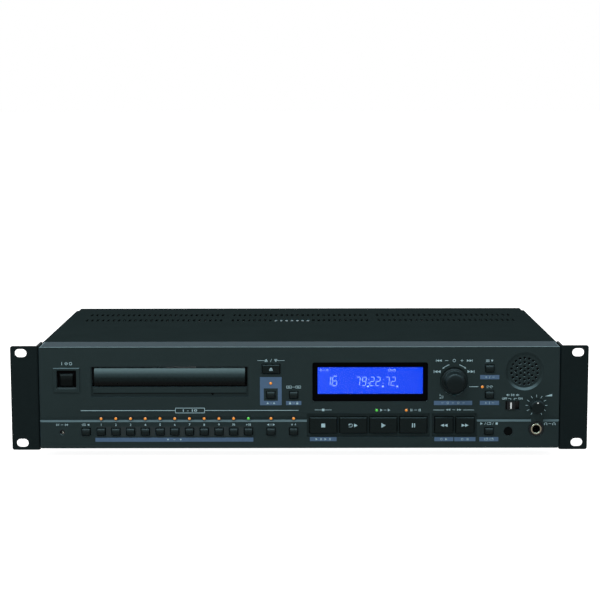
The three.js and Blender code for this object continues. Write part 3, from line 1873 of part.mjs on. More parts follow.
for (const [name, [x, y]] of Object.entries(footPlaces())) {
  player.add(piece(name, foot(), finishes.rubber, [x, y, bodyFoot]));
}

balancedPlaces().forEach(([x, z], index) => {
  const name = index === 0 ? "balanced_socket_left" : "balanced_socket_right";
  player.add(piece(name, balancedSocket(), finishes.nickel, [x, 0, z]));
});

keys.forEach((key) => player.add(keyMesh(key)));
player.add(powerKey());

const [levelX, levelZ] = spot(levelShares);
player.add(
  piece("push_spindle", pushSpindle(), finishes.steel, [dialAt[0], 0, dialAt[1]]),
  piece("dial_knob", dialKnob(), finishes.knob, [dialAt[0], 0, dialAt[1]]),
  piece("level_knob", levelKnob(), finishes.knob, [levelX, 0, levelZ]),
  piece("switch_lever", switchLever(), finishes.key, [leverAt[0], 0, leverAt[1]]),
  piece("clamp_puck", clampPuck(), finishes.plastic, [trayX, discY, 0]),
);

const traverse = new THREE.Group();
traverse.position.set(trayX, pivotY, pivotZ);
traverse.rotation.x = tilt;
traverse.add(
  piece("traverse_deck", traverseDeck(), finishes.steel),
  piece("turntable", turntable(), finishes.plastic, [0, discReach, 0]),
  piece("pickup_sled", pickupSled(), finishes.plastic, [0, discReach + sledInner, 0]),
);
player.add(traverse);

const footprintBack = rearFace + jackProud;
player.position.set(0, (dialProud - footprintBack) / 2, footHeight - bodyFoot);

const root = new THREE.Group();
root.add(player);

export default root;
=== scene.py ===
# A rack-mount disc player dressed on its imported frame: paints, prints, lamps, display, knobs and sockets.
# Places are millimetres from the middle of the front panel's face, at the foot of the rack ears:
# x to the right, y back, z up. ORIGIN takes them to the frame.
import math

import bmesh
import bpy
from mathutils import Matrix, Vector


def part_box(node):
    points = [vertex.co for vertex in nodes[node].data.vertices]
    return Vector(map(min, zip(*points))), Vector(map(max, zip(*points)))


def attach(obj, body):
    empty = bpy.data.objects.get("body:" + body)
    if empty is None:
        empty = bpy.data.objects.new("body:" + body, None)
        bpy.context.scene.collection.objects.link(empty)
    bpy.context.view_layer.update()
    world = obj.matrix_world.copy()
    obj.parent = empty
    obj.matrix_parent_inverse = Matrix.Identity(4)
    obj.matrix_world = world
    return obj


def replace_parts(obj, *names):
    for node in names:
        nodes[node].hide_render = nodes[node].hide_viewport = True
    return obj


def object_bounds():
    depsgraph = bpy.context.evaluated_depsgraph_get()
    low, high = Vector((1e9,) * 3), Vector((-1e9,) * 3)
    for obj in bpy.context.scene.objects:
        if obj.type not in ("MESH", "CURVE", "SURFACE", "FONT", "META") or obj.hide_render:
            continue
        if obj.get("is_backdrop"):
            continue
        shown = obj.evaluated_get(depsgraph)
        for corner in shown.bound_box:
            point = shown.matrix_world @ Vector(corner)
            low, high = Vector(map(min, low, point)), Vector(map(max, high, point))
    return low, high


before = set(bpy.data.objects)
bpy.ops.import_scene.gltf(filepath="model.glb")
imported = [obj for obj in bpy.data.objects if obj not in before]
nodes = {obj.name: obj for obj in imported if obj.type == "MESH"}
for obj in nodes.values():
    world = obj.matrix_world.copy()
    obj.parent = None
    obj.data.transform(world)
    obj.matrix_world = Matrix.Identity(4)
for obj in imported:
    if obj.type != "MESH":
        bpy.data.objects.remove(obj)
cad_low, cad_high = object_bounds()
scene = bpy.context.scene

MM = 0.001
ear_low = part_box("rack_ear_left")[0]
ORIGIN = Vector((0, ear_low.y, ear_low.z))


# Where things are


def span(node):
    """A node's box in millimetres from ORIGIN: lowest corner, highest corner, middle."""
    low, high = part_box(node)
    low = (low - ORIGIN) / MM
    high = (high - ORIGIN) / MM
    return low, high, (low + high) / 2


def middle(node):
    centre = span(node)[2]
    return centre.x, centre.z


# Shapes


class Build:
    """Closed solids gathered into one mesh, in millimetres from ORIGIN."""

    def __init__(self):
        self.points = []
        self.faces = []

    def add(self, points, faces):
        start = len(self.points)
        self.points += [tuple(p) for p in points]
        self.faces += [[start + i for i in face] for face in faces]

    def between(self, near, far):
        """What lies between two rings of as many points."""
        n = len(near)
        faces = [list(range(n)), list(range(2 * n - 1, n - 1, -1))]
        faces += [[(i + 1) % n, i, i + n, (i + 1) % n + n] for i in range(n)]
        self.add(near + far, faces)

    def prism(self, outline, front, back):
        """An outline in x and z, anticlockwise from the front, drawn back along y."""
        self.between([(x, front, z) for x, z in outline], [(x, back, z) for x, z in outline])

    def run(self, section, left, right):
        """A section in y and z drawn along x."""
        self.between([(left, y, z) for y, z in section], [(right, y, z) for y, z in section])

    def band(self, outer, inner, front, back):
        """What lies between two outlines of as many points, drawn back along y."""
        n = len(outer)
        points = [(x, y, z) for y in (front, back) for ring in (outer, inner) for x, z in ring]
        faces = []
        for i in range(n):
            j = (i + 1) % n
            faces += [
                [i, j, j + n, i + n],
                [j + 2 * n, i + 2 * n, i + 3 * n, j + 3 * n],
                [j, i, i + 2 * n, j + 2 * n],
                [i + n, j + n, j + 3 * n, i + 3 * n],
            ]
        self.add(points, faces)

    def turned(self, profile, centre, axis="y", sides=32, closed=False, wave=None):
        """A profile of (radius, place) turned about x or y; wave(angle, place) scales its radii."""
        rings = []
        points = []
        for radius, place in profile:
            if radius == 0:
                rings.append([len(points)])
                points.append((0, 0, place))
                continue
            rings.append(list(range(len(points), len(points) + sides)))
            for k in range(sides):
                angle = 2 * math.pi * k / sides
                reach = radius * (wave(angle, place) if wave else 1)
                points.append((reach * math.cos(angle), reach * math.sin(angle), place))
        faces = []
        pairs = list(zip(rings, rings[1:]))
        if closed:
            pairs.append((rings[-1], rings[0]))
        for one, two in pairs:
            for k in range(sides):
                m = (k + 1) % sides
                corner = [one[k % len(one)], one[m % len(one)], two[m % len(two)], two[k % len(two)]]
                face = list(dict.fromkeys(corner))
                if len(face) > 2:
                    faces.append(face)
        if axis == "x":
            points = [(p, centre[0] + a, centre[1] + b) for a, b, p in points]
        else:
            points = [(centre[0] + a, p, centre[1] + b) for a, b, p in points]
        self.add(points, faces)

    def box(self, xs, ys, zs):
        self.prism(oblong(xs[0], zs[0], xs[1], zs[1]), *ys)

    def ribbon(self, path, width, front, back, closed=False):
        """A mitred line of one width along a path in x and z."""
        n = len(path)
        sides = []
        for i in range(n):
            before = Vector(path[i]) - Vector(path[i - 1]) if closed or i > 0 else None
            after = Vector(path[(i + 1) % n]) - Vector(path[i]) if closed or i < n - 1 else None
            one = (before or after).normalized()
            two = (after or before).normalized()
            bisect = (one + two).normalized()
            normal = Vector((-bisect.y, bisect.x))
            reach = width / 2 / max(0.35, bisect.dot(one))
            sides.append((Vector(path[i]) - normal * reach, Vector(path[i]) + normal * reach))
        right = [tuple(a) for a, b in sides]
        left = [tuple(b) for a, b in sides]
        if closed:
            self.band(right, left, front, back)
        else:
            self.prism(right + left[::-1], front, back)


def oblong(left, foot, right, head):
    return (left, foot), (right, foot), (right, head), (left, head)


def rounded(centre, width, height, radius, steps=5):
    """A rounded rectangle's outline in x and z, anticlockwise."""
    points = []
    for k, (sx, sz) in enumerate(((1, -1), (1, 1), (-1, 1), (-1, -1))):
        corner = (centre[0] + sx * (width / 2 - radius), centre[1] + sz * (height / 2 - radius))
        for step in range(steps + 1):
            angle = math.radians(-90 + 90 * k + 90 * step / steps)
            points.append((corner[0] + radius * math.cos(angle), corner[1] + radius * math.sin(angle)))
    return points


def arc(centre, radius, start, end, steps=12):
    angles = [math.radians(start + (end - start) * k / steps) for k in range(steps + 1)]
    return [(centre[0] + radius * math.cos(a), centre[1] + radius * math.sin(a)) for a in angles]


def circle(centre, radius, sides=24):
    return arc(centre, radius, 0, 360, sides)[:-1]


def soften(piece, width, angle):
    """Edges that turn by more than an angle are rounded to a width in millimetres."""
    edges = piece.modifiers.new("edges", "BEVEL")
    edges.width = width * MM
    edges.segments = 2
    edges.limit_method = "ANGLE"
    edges.angle_limit = math.radians(angle)


def make(name, build, material, body, bevel=0.0, sharp=35):
    """One piece from a build, on its body; edges flatter than sharp are shaded smooth."""
    mesh = bpy.data.meshes.new(name)
    mesh.from_pydata([ORIGIN + Vector(p) * MM for p in build.points], [], build.faces)
    work = bmesh.new()
    work.from_mesh(mesh)
    bmesh.ops.recalc_face_normals(work, faces=work.faces)
    for edge in work.edges:
        edge.smooth = len(edge.link_faces) == 2 and edge.calc_face_angle() < math.radians(sharp)
    for face in work.faces:
        face.smooth = True
    work.to_mesh(mesh)
    work.free()
    piece = bpy.data.objects.new(name, mesh)
    scene.collection.objects.link(piece)
    mesh.materials.append(material)
    if bevel:
        soften(piece, bevel, 40)
    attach(piece, body)
    return piece


# Materials


def linear(value):
    """One 0 to 255 screen value as linear light."""
    value /= 255
    return value / 12.92 if value <= 0.04045 else ((value + 0.055) / 1.055) ** 2.4


def colour(red, green, blue):
    return (linear(red), linear(green), linear(blue), 1)


class Surface:
    """A procedural material: a base colour that varies, a grain in relief and a roughness that follows it."""

    def __init__(self, name, base, rough, specular=0.5, metal=0.0):
        self.material = bpy.data.materials.new(name)
        self.material.use_nodes = True
        self.tree = self.material.node_tree
        self.shader = self.tree.nodes["Principled BSDF"]
        self.base = base
        self.rough = rough
        self.put({"Base Color": base, "Roughness": rough, "Specular IOR Level": specular, "Metallic": metal})
        self.place = self.node("ShaderNodeTexCoord").outputs["Object"]

    def put(self, values):
        """Plain values for inputs of the shader, by their names."""
        for name, value in values.items():
            self.shader.inputs[name].default_value = value
        return self

    def node(self, kind, **inputs):
        made = self.tree.nodes.new(kind)
        for key, value in inputs.items():
            made.inputs[key.replace("_", " ")].default_value = value
        return made

    def link(self, out, into):
        self.tree.links.new(out, into)

    def noise(self, size, detail=2.0, stretch=None):
        """Noise whose grains are about size millimetres; stretch lengthens them along an axis."""
        made = self.node("ShaderNodeTexNoise", Scale=1 / (size * MM), Detail=detail)
        source = self.place
        if stretch:
            mapping = self.node("ShaderNodeMapping", Scale=stretch)
            self.link(source, mapping.inputs["Vector"])
            source = mapping.outputs["Vector"]
        self.link(source, made.inputs["Vector"])
        return made.outputs["Fac"]

    def mix(self, factor, one, two, blend="MIX"):
        """Two colours mixed by a factor; each of the three is a value or what another node gives."""
        made = self.tree.nodes.new("ShaderNodeMix")
        made.data_type = "RGBA"
        made.blend_type = blend
        for value, socket in ((factor, made.inputs["Factor"]), (one, made.inputs[6]), (two, made.inputs[7])):
            if isinstance(value, bpy.types.NodeSocket):
                self.link(value, socket)
            else:
                socket.default_value = value
        return made.outputs[2]

    def scale_range(self, value, low, high, from_low=0.3, from_high=0.7):
        limits = {"From_Min": from_low, "From_Max": from_high, "To_Min": low, "To_Max": high}
        made = self.node("ShaderNodeMapRange", **limits)
        self.link(value, made.inputs["Value"])
        return made.outputs["Result"]

    def mottle(self, size, amount, into=None):
        """The base colour, or the tone given, varies by amount over patches of a size."""
        source = into if into is not None else self.base
        factor = self.scale_range(self.noise(size, 4.0), 0.0, 1.0)
        if isinstance(source, tuple):
            dark = tuple(c * (1 - amount) for c in source[:3]) + (1,)
            light = tuple(c * (1 + amount) for c in source[:3]) + (1,)
            tone = self.mix(factor, dark, light)
        else:
            shade = self.mix(factor, (1 - amount,) * 3 + (1,), (1, 1, 1, 1))
            tone = self.mix(1, source, shade, "MULTIPLY")
        self.link(tone, self.shader.inputs["Base Color"])
        return self

    def grain(self, size, depth, strength=0.5, stretch=None):
        """A relief of grains; depth in millimetres."""
        height = self.noise(size, 3.0, stretch)
        relief = self.node("ShaderNodeBump", Strength=strength, Distance=depth * MM)
        self.link(height, relief.inputs["Height"])
        self.link(relief.outputs["Normal"], self.shader.inputs["Normal"])
        uneven = self.scale_range(height, self.rough * 0.88, min(1.0, self.rough * 1.12))
        self.link(uneven, self.shader.inputs["Roughness"])
        return self

    def ramp(self, value, stops):
        """A colour that follows a value through stops of (value, colour)."""
        made = self.tree.nodes.new("ShaderNodeValToRGB")
        elements = made.color_ramp.elements
        while len(elements) < len(stops):
            elements.new(0.5)
        for element, (place, tone) in zip(elements, stops):
            element.position = place
            element.color = tone
        self.link(value, made.inputs["Fac"])
        return made.outputs["Color"]

    def axis(self, name, source="Object"):
        """One coordinate of the object in metres of the frame, or one part of its Normal."""
        split = self.node("ShaderNodeSeparateXYZ")
        self.link(self.place.node.outputs[source], split.inputs["Vector"])
        return split.outputs[name]

    def glow(self, tone, strength):
        return self.put({"Emission Color": tone, "Emission Strength": strength})


def plain(name, base, rough, specular=0.5, metal=0.0, grain=0.3, depth=0.02, patch=30, amount=0.05):
    """One screen colour with patches and a grain."""
    made = Surface(name, colour(*base), rough, specular, metal)
    return made.mottle(patch, amount).grain(grain, depth).material


def plated(name, base, rough):
    return plain(name, base, rough, metal=1.0, grain=0.6, depth=0.004)


def heights(node):
    """A node's foot and head in metres of the frame."""
    low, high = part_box(node)
    return low.z, high.z


def toned(name, base, rough, specular, stops, rise=None, patch=8, amount=0.05, grain=0.2, depth=0.015):
    """Painted light: screen colours that stand in for highlights and shade, following how far a face looks
    up, or its height between the two places of rise.
    """
    made = Surface(name, colour(*base), rough, specular)
    along = made.scale_range(made.axis("Z"), 0.0, 1.0, *rise) if rise else made.axis("Z", "Normal")
    tone = made.ramp(along, [(place, colour(*shade)) for place, shade in stops])
    return made.mottle(patch, amount, into=tone).grain(grain, depth)


# Painted highlights: panel faces that look further up are lighter, the rounded top edge lightest, the flat
# top darker again
PANEL_PAINTED_LIGHT = (
    (0.25, (37, 49, 50)),
    (0.45, (48, 62, 64)),
    (0.65, (88, 111, 117)),
    (0.75, (88, 111, 117)),
    (0.85, (140, 168, 176)),
    (0.97, (140, 168, 176)),
    (1.0, (42, 60, 66)),
)
# Painted highlight and shade on the key crowns: fronts and downward faces dark, faces leaning back lighter
CROWN_PAINTED_LIGHT = ((0.02, (12, 22, 22)), (0.12, (24, 34, 35)), (0.35, (44, 56, 58)), (1.0, (44, 56, 58)))
# Painted highlight: the power key is dark low in its pocket and lighter towards its top
POWER_PAINTED_LIGHT = ((0.0, (4, 8, 8)), (0.5, (6, 10, 10)), (0.78, (20, 27, 27)), (0.86, (44, 55, 57)))
# Painted highlights on the knobs: faces turned halfway up are lightest, fronts and tops darker
KNOB_PAINTED_LIGHT = ((0.01, (13, 22, 23)), (0.1, (22, 31, 33)), (0.5, (44, 56, 59)), (1.0, (22, 32, 34)))
# Painted reflection: the door is light at its upper edge and darkens to near black at its foot
DOOR_PAINTED_REFLECTION = (
    (0.0, (1, 2, 2)),
    (0.14, (2, 4, 4)),
    (0.42, (19, 30, 31)),
    (0.64, (50, 66, 69)),
    (0.89, (96, 120, 124)),
    (1.0, (100, 124, 128)),
)
FILM = {"patch": 30, "amount": 0.04, "grain": 0.25, "depth": 0.03}
GLOSS = {"patch": 25, "amount": 0.04, "grain": 3.0, "depth": 0.002}
panel = toned("panel_plastic", (32, 45, 46), 0.55, 0.03, PANEL_PAINTED_LIGHT, **FILM)
panel.put({"Sheen Weight": 0.06, "Sheen Roughness": 0.25, "Sheen Tint": colour(95, 160, 215)})
crown_plastic = toned("crown_plastic", (22, 32, 33), 0.42, 0.06, CROWN_PAINTED_LIGHT).material
power_plastic = toned("power_plastic", (4, 8, 8), 0.42, 0.03, POWER_PAINTED_LIGHT, heights("power_key")).material
knob_plastic = toned("knob_plastic", (12, 21, 22), 0.42, 0.05, KNOB_PAINTED_LIGHT, patch=12).material
door_painted_reflection = toned("door_gloss", (30, 38, 40), 0.28, 0.04, DOOR_PAINTED_REFLECTION, heights("tray_door"), **GLOSS)
door_gloss = door_painted_reflection.material
ear_paint = plain("ear_paint", (18, 27, 28), 0.5, 0.03, grain=0.35, depth=0.03)
cover_paint = plain("cover_paint", (36, 47, 48), 0.75, 0.0, grain=0.4, depth=0.03)
key_plastic = plain("key_plastic", (8, 18, 18), 0.42, 0.06, grain=0.2, depth=0.015)
black_plastic = plain("black_plastic", (18, 21, 23), 0.5, 0.12)
rubber = plain("rubber", (20, 20, 21), 0.85, 0.2, grain=0.5, depth=0.05)
# Black gloss of the display's border, used too as painted shade under the door's ledge, in the power pocket,
# the eject hole and the screws' crosses
black_gloss_and_painted_shade = plain("black_gloss_and_painted_shade", (2, 2, 3), 0.12, 0.01, grain=2.0, depth=0.002)
sensor_gloss = plain("sensor_gloss", (3, 6, 7), 0.15, 0.02, grain=1.5, depth=0.003)
steel = Surface("zinc_steel", colour(168, 172, 174), 0.38, metal=1.0)
zinc = steel.mottle(30, 0.05).grain(0.5, 0.01, stretch=(0.05, 1, 1)).material
nickel = plated("nickel", (176, 172, 162), 0.25)
old_nickel = plated("old_nickel", (112, 106, 92), 0.3)
bright_steel = plated("bright_steel", (238, 240, 242), 0.35)
print_white = plain("print_white", (158, 190, 198), 0.6, 0.2, grain=0.15, depth=0.01, patch=4, amount=0.06)
print_blue = plain("print_blue", (72, 98, 126), 0.6, 0.15, grain=0.15, depth=0.01, patch=6)
# Dark print behind the number keys, used too as painted shade over the power pocket's sill
dark_print_and_painted_shade = plain("dark_print_and_painted_shade", (29, 38, 39), 0.55, 0.14, grain=0.25)
mark_white = plain("mark_white", (225, 232, 232), 0.5, 0.2, grain=0.2, depth=0.01, patch=3)


# Dressing of the CAD nodes


def smooth_tree():
    """Geometry nodes that shade a mesh smooth except over edges of more than 32 degrees."""
    tree = bpy.data.node_groups.new("smooth_by_angle", "GeometryNodeTree")
    tree.interface.new_socket("Geometry", in_out="INPUT", socket_type="NodeSocketGeometry")
    tree.interface.new_socket("Geometry", in_out="OUTPUT", socket_type="NodeSocketGeometry")
    start = tree.nodes.new("NodeGroupInput")
    end = tree.nodes.new("NodeGroupOutput")
    all_faces = tree.nodes.new("GeometryNodeSetShadeSmooth")
    all_faces.domain = "FACE"
    edges = tree.nodes.new("GeometryNodeSetShadeSmooth")
    edges.domain = "EDGE"
    edges.inputs["Shade Smooth"].default_value = False
    angle = tree.nodes.new("GeometryNodeInputMeshEdgeAngle")
    compare = tree.nodes.new("FunctionNodeCompare")
    compare.operation = "GREATER_THAN"
    compare.inputs["B"].default_value = math.radians(32)
    tree.links.new(start.outputs[0], all_faces.inputs["Geometry"])
    tree.links.new(all_faces.outputs[0], edges.inputs["Geometry"])
    tree.links.new(angle.outputs["Unsigned Angle"], compare.inputs["A"])
    tree.links.new(compare.outputs["Result"], edges.inputs["Selection"])
    tree.links.new(edges.outputs[0], end.inputs[0])
    return tree


SMOOTH = smooth_tree()


def dress(node, material, bevel=0.0):
    """A CAD node gets its material, joined vertices, softened edges and smooth shading."""
    shown = nodes[node]
    for place in shown.material_slots:
        place.material = material
    weld = shown.modifiers.new("weld", "WELD")
    weld.merge_threshold = 0.002 * MM
    if bevel:
        flat = shown.modifiers.new("flat", "DECIMATE")
        flat.decimate_type = "DISSOLVE"
        flat.angle_limit = math.radians(0.4)
        soften(shown, bevel, 50)
    shade = shown.modifiers.new("shade", "NODES")
    shade.node_group = SMOOTH
    if bevel:
        even = shown.modifiers.new("even", "WEIGHTED_NORMAL")
        even.keep_sharp = True


# Materials, the rounding of the edges in millimetres, and nodes
DRESSED = (
    (panel.material, 0.12, "front_panel"),
    (ear_paint, 0.25, "rack_ear_left rack_ear_right"),
    (cover_paint, 0.12, "top_cover"),
    (zinc, 0, "chassis rear_panel clamp_bridge traverse_deck push_spindle"),
    (black_plastic, 0, "speaker_driver loader_frame disc_tray clamp_puck turntable pickup_sled lcd_module"),
    (black_plastic, 0.1, "power_inlet switch_lever"),
    (nickel, 0, "balanced_socket_left balanced_socket_right"),
    (sensor_gloss, 0, "ir_window"),
)
for material, bevel, names in DRESSED:
    for name in names.split():
        dress(name, material, bevel)
for name in nodes:
    if name.endswith("_key"):
        dress(name, power_plastic if name == "power_key" else key_plastic, 0.1)
    elif name.startswith("foot_"):
        dress(name, rubber, 0.5)


def board_material(name, axis, low, high):
    """Green board between two places along an axis, dark parts elsewhere."""
    made = Surface(name, colour(26, 84, 50), 0.45, 0.3)
    place = made.axis(axis)
    above = made.tree.nodes.new("ShaderNodeMath")
    above.operation = "COMPARE"
    above.inputs[1].default_value = (low + high) / 2
    above.inputs[2].default_value = (high - low) / 2
    made.link(place, above.inputs[0])
    tone = made.mix(above.outputs[0], colour(28, 29, 31), colour(24, 82, 48))
    made.mottle(3, 0.25, into=tone).grain(0.8, 0.03)
    return made.material


BOARD = 1.6
SLACK = 0.2
back = ORIGIN.y + span("front_board")[1].y * MM
dress("front_board", board_material("front_board_parts", "Y", back - (BOARD + SLACK) * MM, back + SLACK * MM))
for name in ("main_board", "power_supply"):
    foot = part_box(name)[0].z
    dress(name, board_material(name + "_parts", "Z", foot - SLACK * MM, foot + (BOARD + SLACK) * MM))

# The door: a gloss moulding whose face leans back towards its upper edge, its colour a painted reflection,
# light at the upper edge and dark towards the foot

LEAN = (
    (0.0, 0.45),
    (0.02, 0.15),
    (0.05, 0.0),
    (0.45, 0.0),
    (0.58, 0.05),
    (0.7, 0.2),
    (0.8, 0.42),
    (0.88, 0.7),
    (0.95, 1.05),
    (0.98, 1.3),
    (1.0, 1.75),
)


def leaning(front, back, foot, head, profile):
    """A section in y and z: its front follows (share of the height, lean back), its back is flat."""
    face = [(front + lean, foot + share * (head - foot)) for share, lean in profile]
    return face + [(back, head), (back, foot)]


door_low, door_high, door_mid = span("tray_door")
leaf = Build()
leaf.run(leaning(door_low.y, door_high.y, door_low.z, door_high.z, LEAN), door_low.x, door_high.x)
door_face = make("door_face", leaf, door_gloss, "disc_tray", 0.15)
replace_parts(door_face, "tray_door")

# Painted shadow: a black strip on the recess floor under the door's ledge; painted shade: a black lining and
# back in the hole that frees a stuck tray

FACE = -0.03
INTO = 0.05
RECESS_FLOOR = 1.4
LEDGE_FOOT = door_low.z - 6.2
SHADOW_HALF = 64.0
SHADOW_HEIGHT = 0.75
SHADOW_PROUD = 0.06
EJECT = (-72.75, 47.3)
THROAT = ((0, 3.3), (0.82, 3.3), (0.82, 1.3), (0.98, 1.36), (0.98, 3.6), (0, 3.6))
ledge_shadow = Build()
ledge_shadow.box(
    (door_mid.x - SHADOW_HALF, door_mid.x + SHADOW_HALF),
    (RECESS_FLOOR - SHADOW_PROUD, RECESS_FLOOR + INTO),
    (LEDGE_FOOT - SHADOW_HEIGHT, LEDGE_FOOT),
)
make("ledge_painted_shadow", ledge_shadow, black_gloss_and_painted_shade, "housing")
# Painted shade: the black lining and back of the eject hole stand in for the shade inside it
hole = Build()
hole.turned(THROAT, EJECT, sides=20)
make("eject_throat_painted_shade", hole, black_gloss_and_painted_shade, "housing", sharp=50)

# Crowns on the small keys: a cap whose upper half leans back, coloured with painted highlight and shade by
# how far each face looks up

CROWN = (
    (0.0, 0.4),
    (0.06, 0.1),
    (0.14, 0.0),
    (0.42, 0.0),
    (0.6, 0.06),
    (0.78, 0.2),
    (0.92, 0.4),
    (1.0, 0.75),
)
CROWN_PROUD = 0.5
CROWN_EDGE = 0.3
FLANGE = 1.05
CROWN_INSET = FLANGE + 0.1
SMALL_SPAN = 10
for name in list(nodes):
    low, high, _ = span(name)
    if not name.endswith("_key") or name == "power_key" or high.x - low.x > SMALL_SPAN:
        continue
    foot = low.z + CROWN_INSET
    head = high.z - CROWN_INSET
    crown = Build()
    section = leaning(low.y - CROWN_PROUD, low.y + CROWN_PROUD, foot, head, CROWN)
    crown.run(section, low.x + CROWN_INSET, high.x - CROWN_INSET)
    make(name.removesuffix("_key") + "_crown", crown, crown_plastic, name, CROWN_EDGE)

# Painted shade: black round the power key on the floor of its pocket, and a darker skin over the pocket's
# sloping sill

KEY_GAP = 0.7
POCKET_SHADE = (15.7, 14.0)
POCKET_SHADE_RISE = 1.05
POCKET_SHADE_PROUD = 0.08
POCKET_SHADE_CORNER = 0.4
SILL = ((-0.97, -7.3), (1.4, -6.0))
SILL_HALF = 8.1
SILL_SKIN = 0.04
power_low, power_high, power_mid = span("power_key")
rim = FLANGE - KEY_GAP
power_width, _, power_height = power_high - power_low
outside = rounded((power_mid.x, power_mid.z + POCKET_SHADE_RISE), *POCKET_SHADE, POCKET_SHADE_CORNER, 4)
inside = rounded((power_mid.x, power_mid.z), power_width - 2 * rim, power_height - 2 * rim, POCKET_SHADE_CORNER, 4)
pocket = Build()
pocket.band(outside, inside, RECESS_FLOOR - POCKET_SHADE_PROUD, RECESS_FLOOR + INTO)
make("power_pocket_painted_shade", pocket, black_gloss_and_painted_shade, "housing")
sill = Build()
slope = [(y, power_mid.z + z + SILL_SKIN) for y, z in SILL]
slope += [(y, power_mid.z + z - SILL_SKIN) for y, z in reversed(SILL)]
sill.run(slope, power_mid.x - SILL_HALF, power_mid.x + SILL_HALF)
make("power_sill_painted_shade", sill, dark_print_and_painted_shade, "housing")

# Prints on the panel: each sign is made of filled outlines and lines, in shares of its height

STROKE = 0.13
BOLD = 1.2


SIGNS = {
    "play": [("fill", (-0.4, -0.5), (0.5, 0), (-0.4, 0.5))],
    "up": [("fill", (-0.5, -0.4), (0.5, -0.4), (0, 0.5))],
    "square": [("fill", *oblong(-0.42, -0.42, 0.42, 0.42))],
    "bars": [("fill", *oblong(a, -0.45, a + 0.22, 0.45)) for a in (-0.3, 0.14)],
    "bar": [("fill", *oblong(-0.08, -0.5, 0.08, 0.5))],
    "dash": [("line", (-0.5, 0), (0.5, 0))],
    "long": [("line", (-1.3, 0), (1.3, 0))],
    "plus": [("line", (-0.4, 0), (0.4, 0)), ("line", (0, 0.07), (0, 0.4)), ("line", (0, -0.4), (0, -0.07))],
    "slash": [("line", (-0.22, -0.5), (0.22, 0.5))],
    "ring": [("loop", *circle((0, 0), 0.42, 16))],
    "power": [("line", *arc((0, 0), 0.4, 125, 415)), ("line", (0, 0), (0, 0.5))],
    "eject": [("fill", (-0.5, -0.12), (0.5, -0.12), (0, 0.5)), ("fill", *oblong(-0.5, -0.46, 0.5, -0.28))],
    "rewind": [("fill", (0, 0.34), (-0.75, 0), (0, -0.34)), ("fill", (0.75, 0.34), (0.02, 0), (0.75, -0.34))],
    "skip_back": [
        ("fill", *oblong(-0.9, -0.36, -0.76, 0.36)),
        ("fill", (0.05, 0.36), (-0.72, 0), (0.05, -0.36)),
        ("fill", (0.85, 0.36), (0.08, 0), (0.85, -0.36)),
    ],
    "bolt": [("fill", (-0.12, -0.5), (0.34, 0.1), (0.04, 0.1), (0.16, 0.5), (-0.3, -0.06), (0, -0.06))],
    "erase": [
        ("loop", (-0.75, 0), (-0.35, 0.4), (0.7, 0.4), (0.7, -0.4), (-0.35, -0.4)),
        ("line", (-0.08, -0.16), (0.3, 0.16)),
        ("line", (-0.08, 0.16), (0.08, 0.02)),
        ("line", (0.14, -0.03), (0.3, -0.16)),
    ],
    "frame": [
        ("loop", *oblong(-0.9, -0.42, 0.9, 0.42)),
        ("line", (-0.5, -0.12), (0.5, -0.12)),
        ("line", (-0.5, 0.14), (0.2, 0.14)),
    ],
    "menu": [("bold", (-0.7, b), (0.7, b)) for b in (-0.36, 0, 0.36)],
    "waves": [("fill", *circle((0, 0), 0.13, 10))]
    + [("line", *arc((0, 0), reach, turn, turn + 100)) for turn in (-50, 130) for reach in (0.32, 0.55)],
    "cycle": [("line", *arc((0, 0), 0.4, 20, 300)), ("fill", (0.12, 0.02), (0.62, 0.02), (0.4, 0.34))],
    "repeat": [
        ("line", (-0.2, 0.36), (-0.7, 0.36), (-0.7, -0.36), (0.7, -0.36), (0.7, 0.36), (0.45, 0.36)),
        ("fill", (0.5, 0.66), (-0.08, 0.36), (0.5, 0.08)),
    ],
    "speaker": [
        ("fill", (-0.5, -0.18), (-0.24, -0.18), (0.06, -0.46), (0.06, 0.46), (-0.24, 0.18), (-0.5, 0.18)),
        ("line", *arc((0.08, 0), 0.2, -45, 45)),
        ("line", *arc((0.08, 0), 0.42, -45, 45)),
    ],
    "phones": [("line", *arc((0, -0.05), 0.42, 0, 180))]
    + [("fill", *oblong(a - 0.13, -0.5, a + 0.13, -0.04)) for a in (-0.42, 0.42)],
    "wedge": [("fill", (-1.3, -0.42), (1.3, -0.42), (1.3, 0.42))],
    "lock": [
        ("fill", *oblong(-0.36, -0.48, 0.36, 0.08)),
        ("line", (-0.22, 0.08), (-0.22, 0.24), *arc((0, 0.24), 0.22, 180, 0, 6)[1:], (0.22, 0.08)),
    ],
    "press": [
        ("line", (-0.5, 0.45), (-0.5, -0.1)),
        ("fill", (-0.5, -0.45), (-0.25, -0.08), (-0.75, -0.08)),
        ("line", (-0.1, -0.45), (0.9, -0.45)),
    ],
    "enter": [
        ("line", (0.7, 0.45), (0.7, -0.05), (-0.35, -0.05)),
        ("fill", (-0.3, 0.24), (-0.75, -0.05), (-0.3, -0.34)),
    ],
    "recall": [
        ("line", *arc((0, 0), 0.4, -90, 150)),
        ("fill", (-0.66, 0.08), (-0.08, 0.08), (-0.44, 0.5)),
        ("line", (0, -0.4), (-0.5, -0.4)),
    ],
}
# Signs that are others turned by half a turn
TURNED = {"back": "play", "down": "up", "load": "eject", "forward": "rewind", "skip_forward": "skip_back"}
for kind, other in TURNED.items():
    SIGNS[kind] = [(form, *[(-a, -b) for a, b in points]) for form, *points in SIGNS[other]]


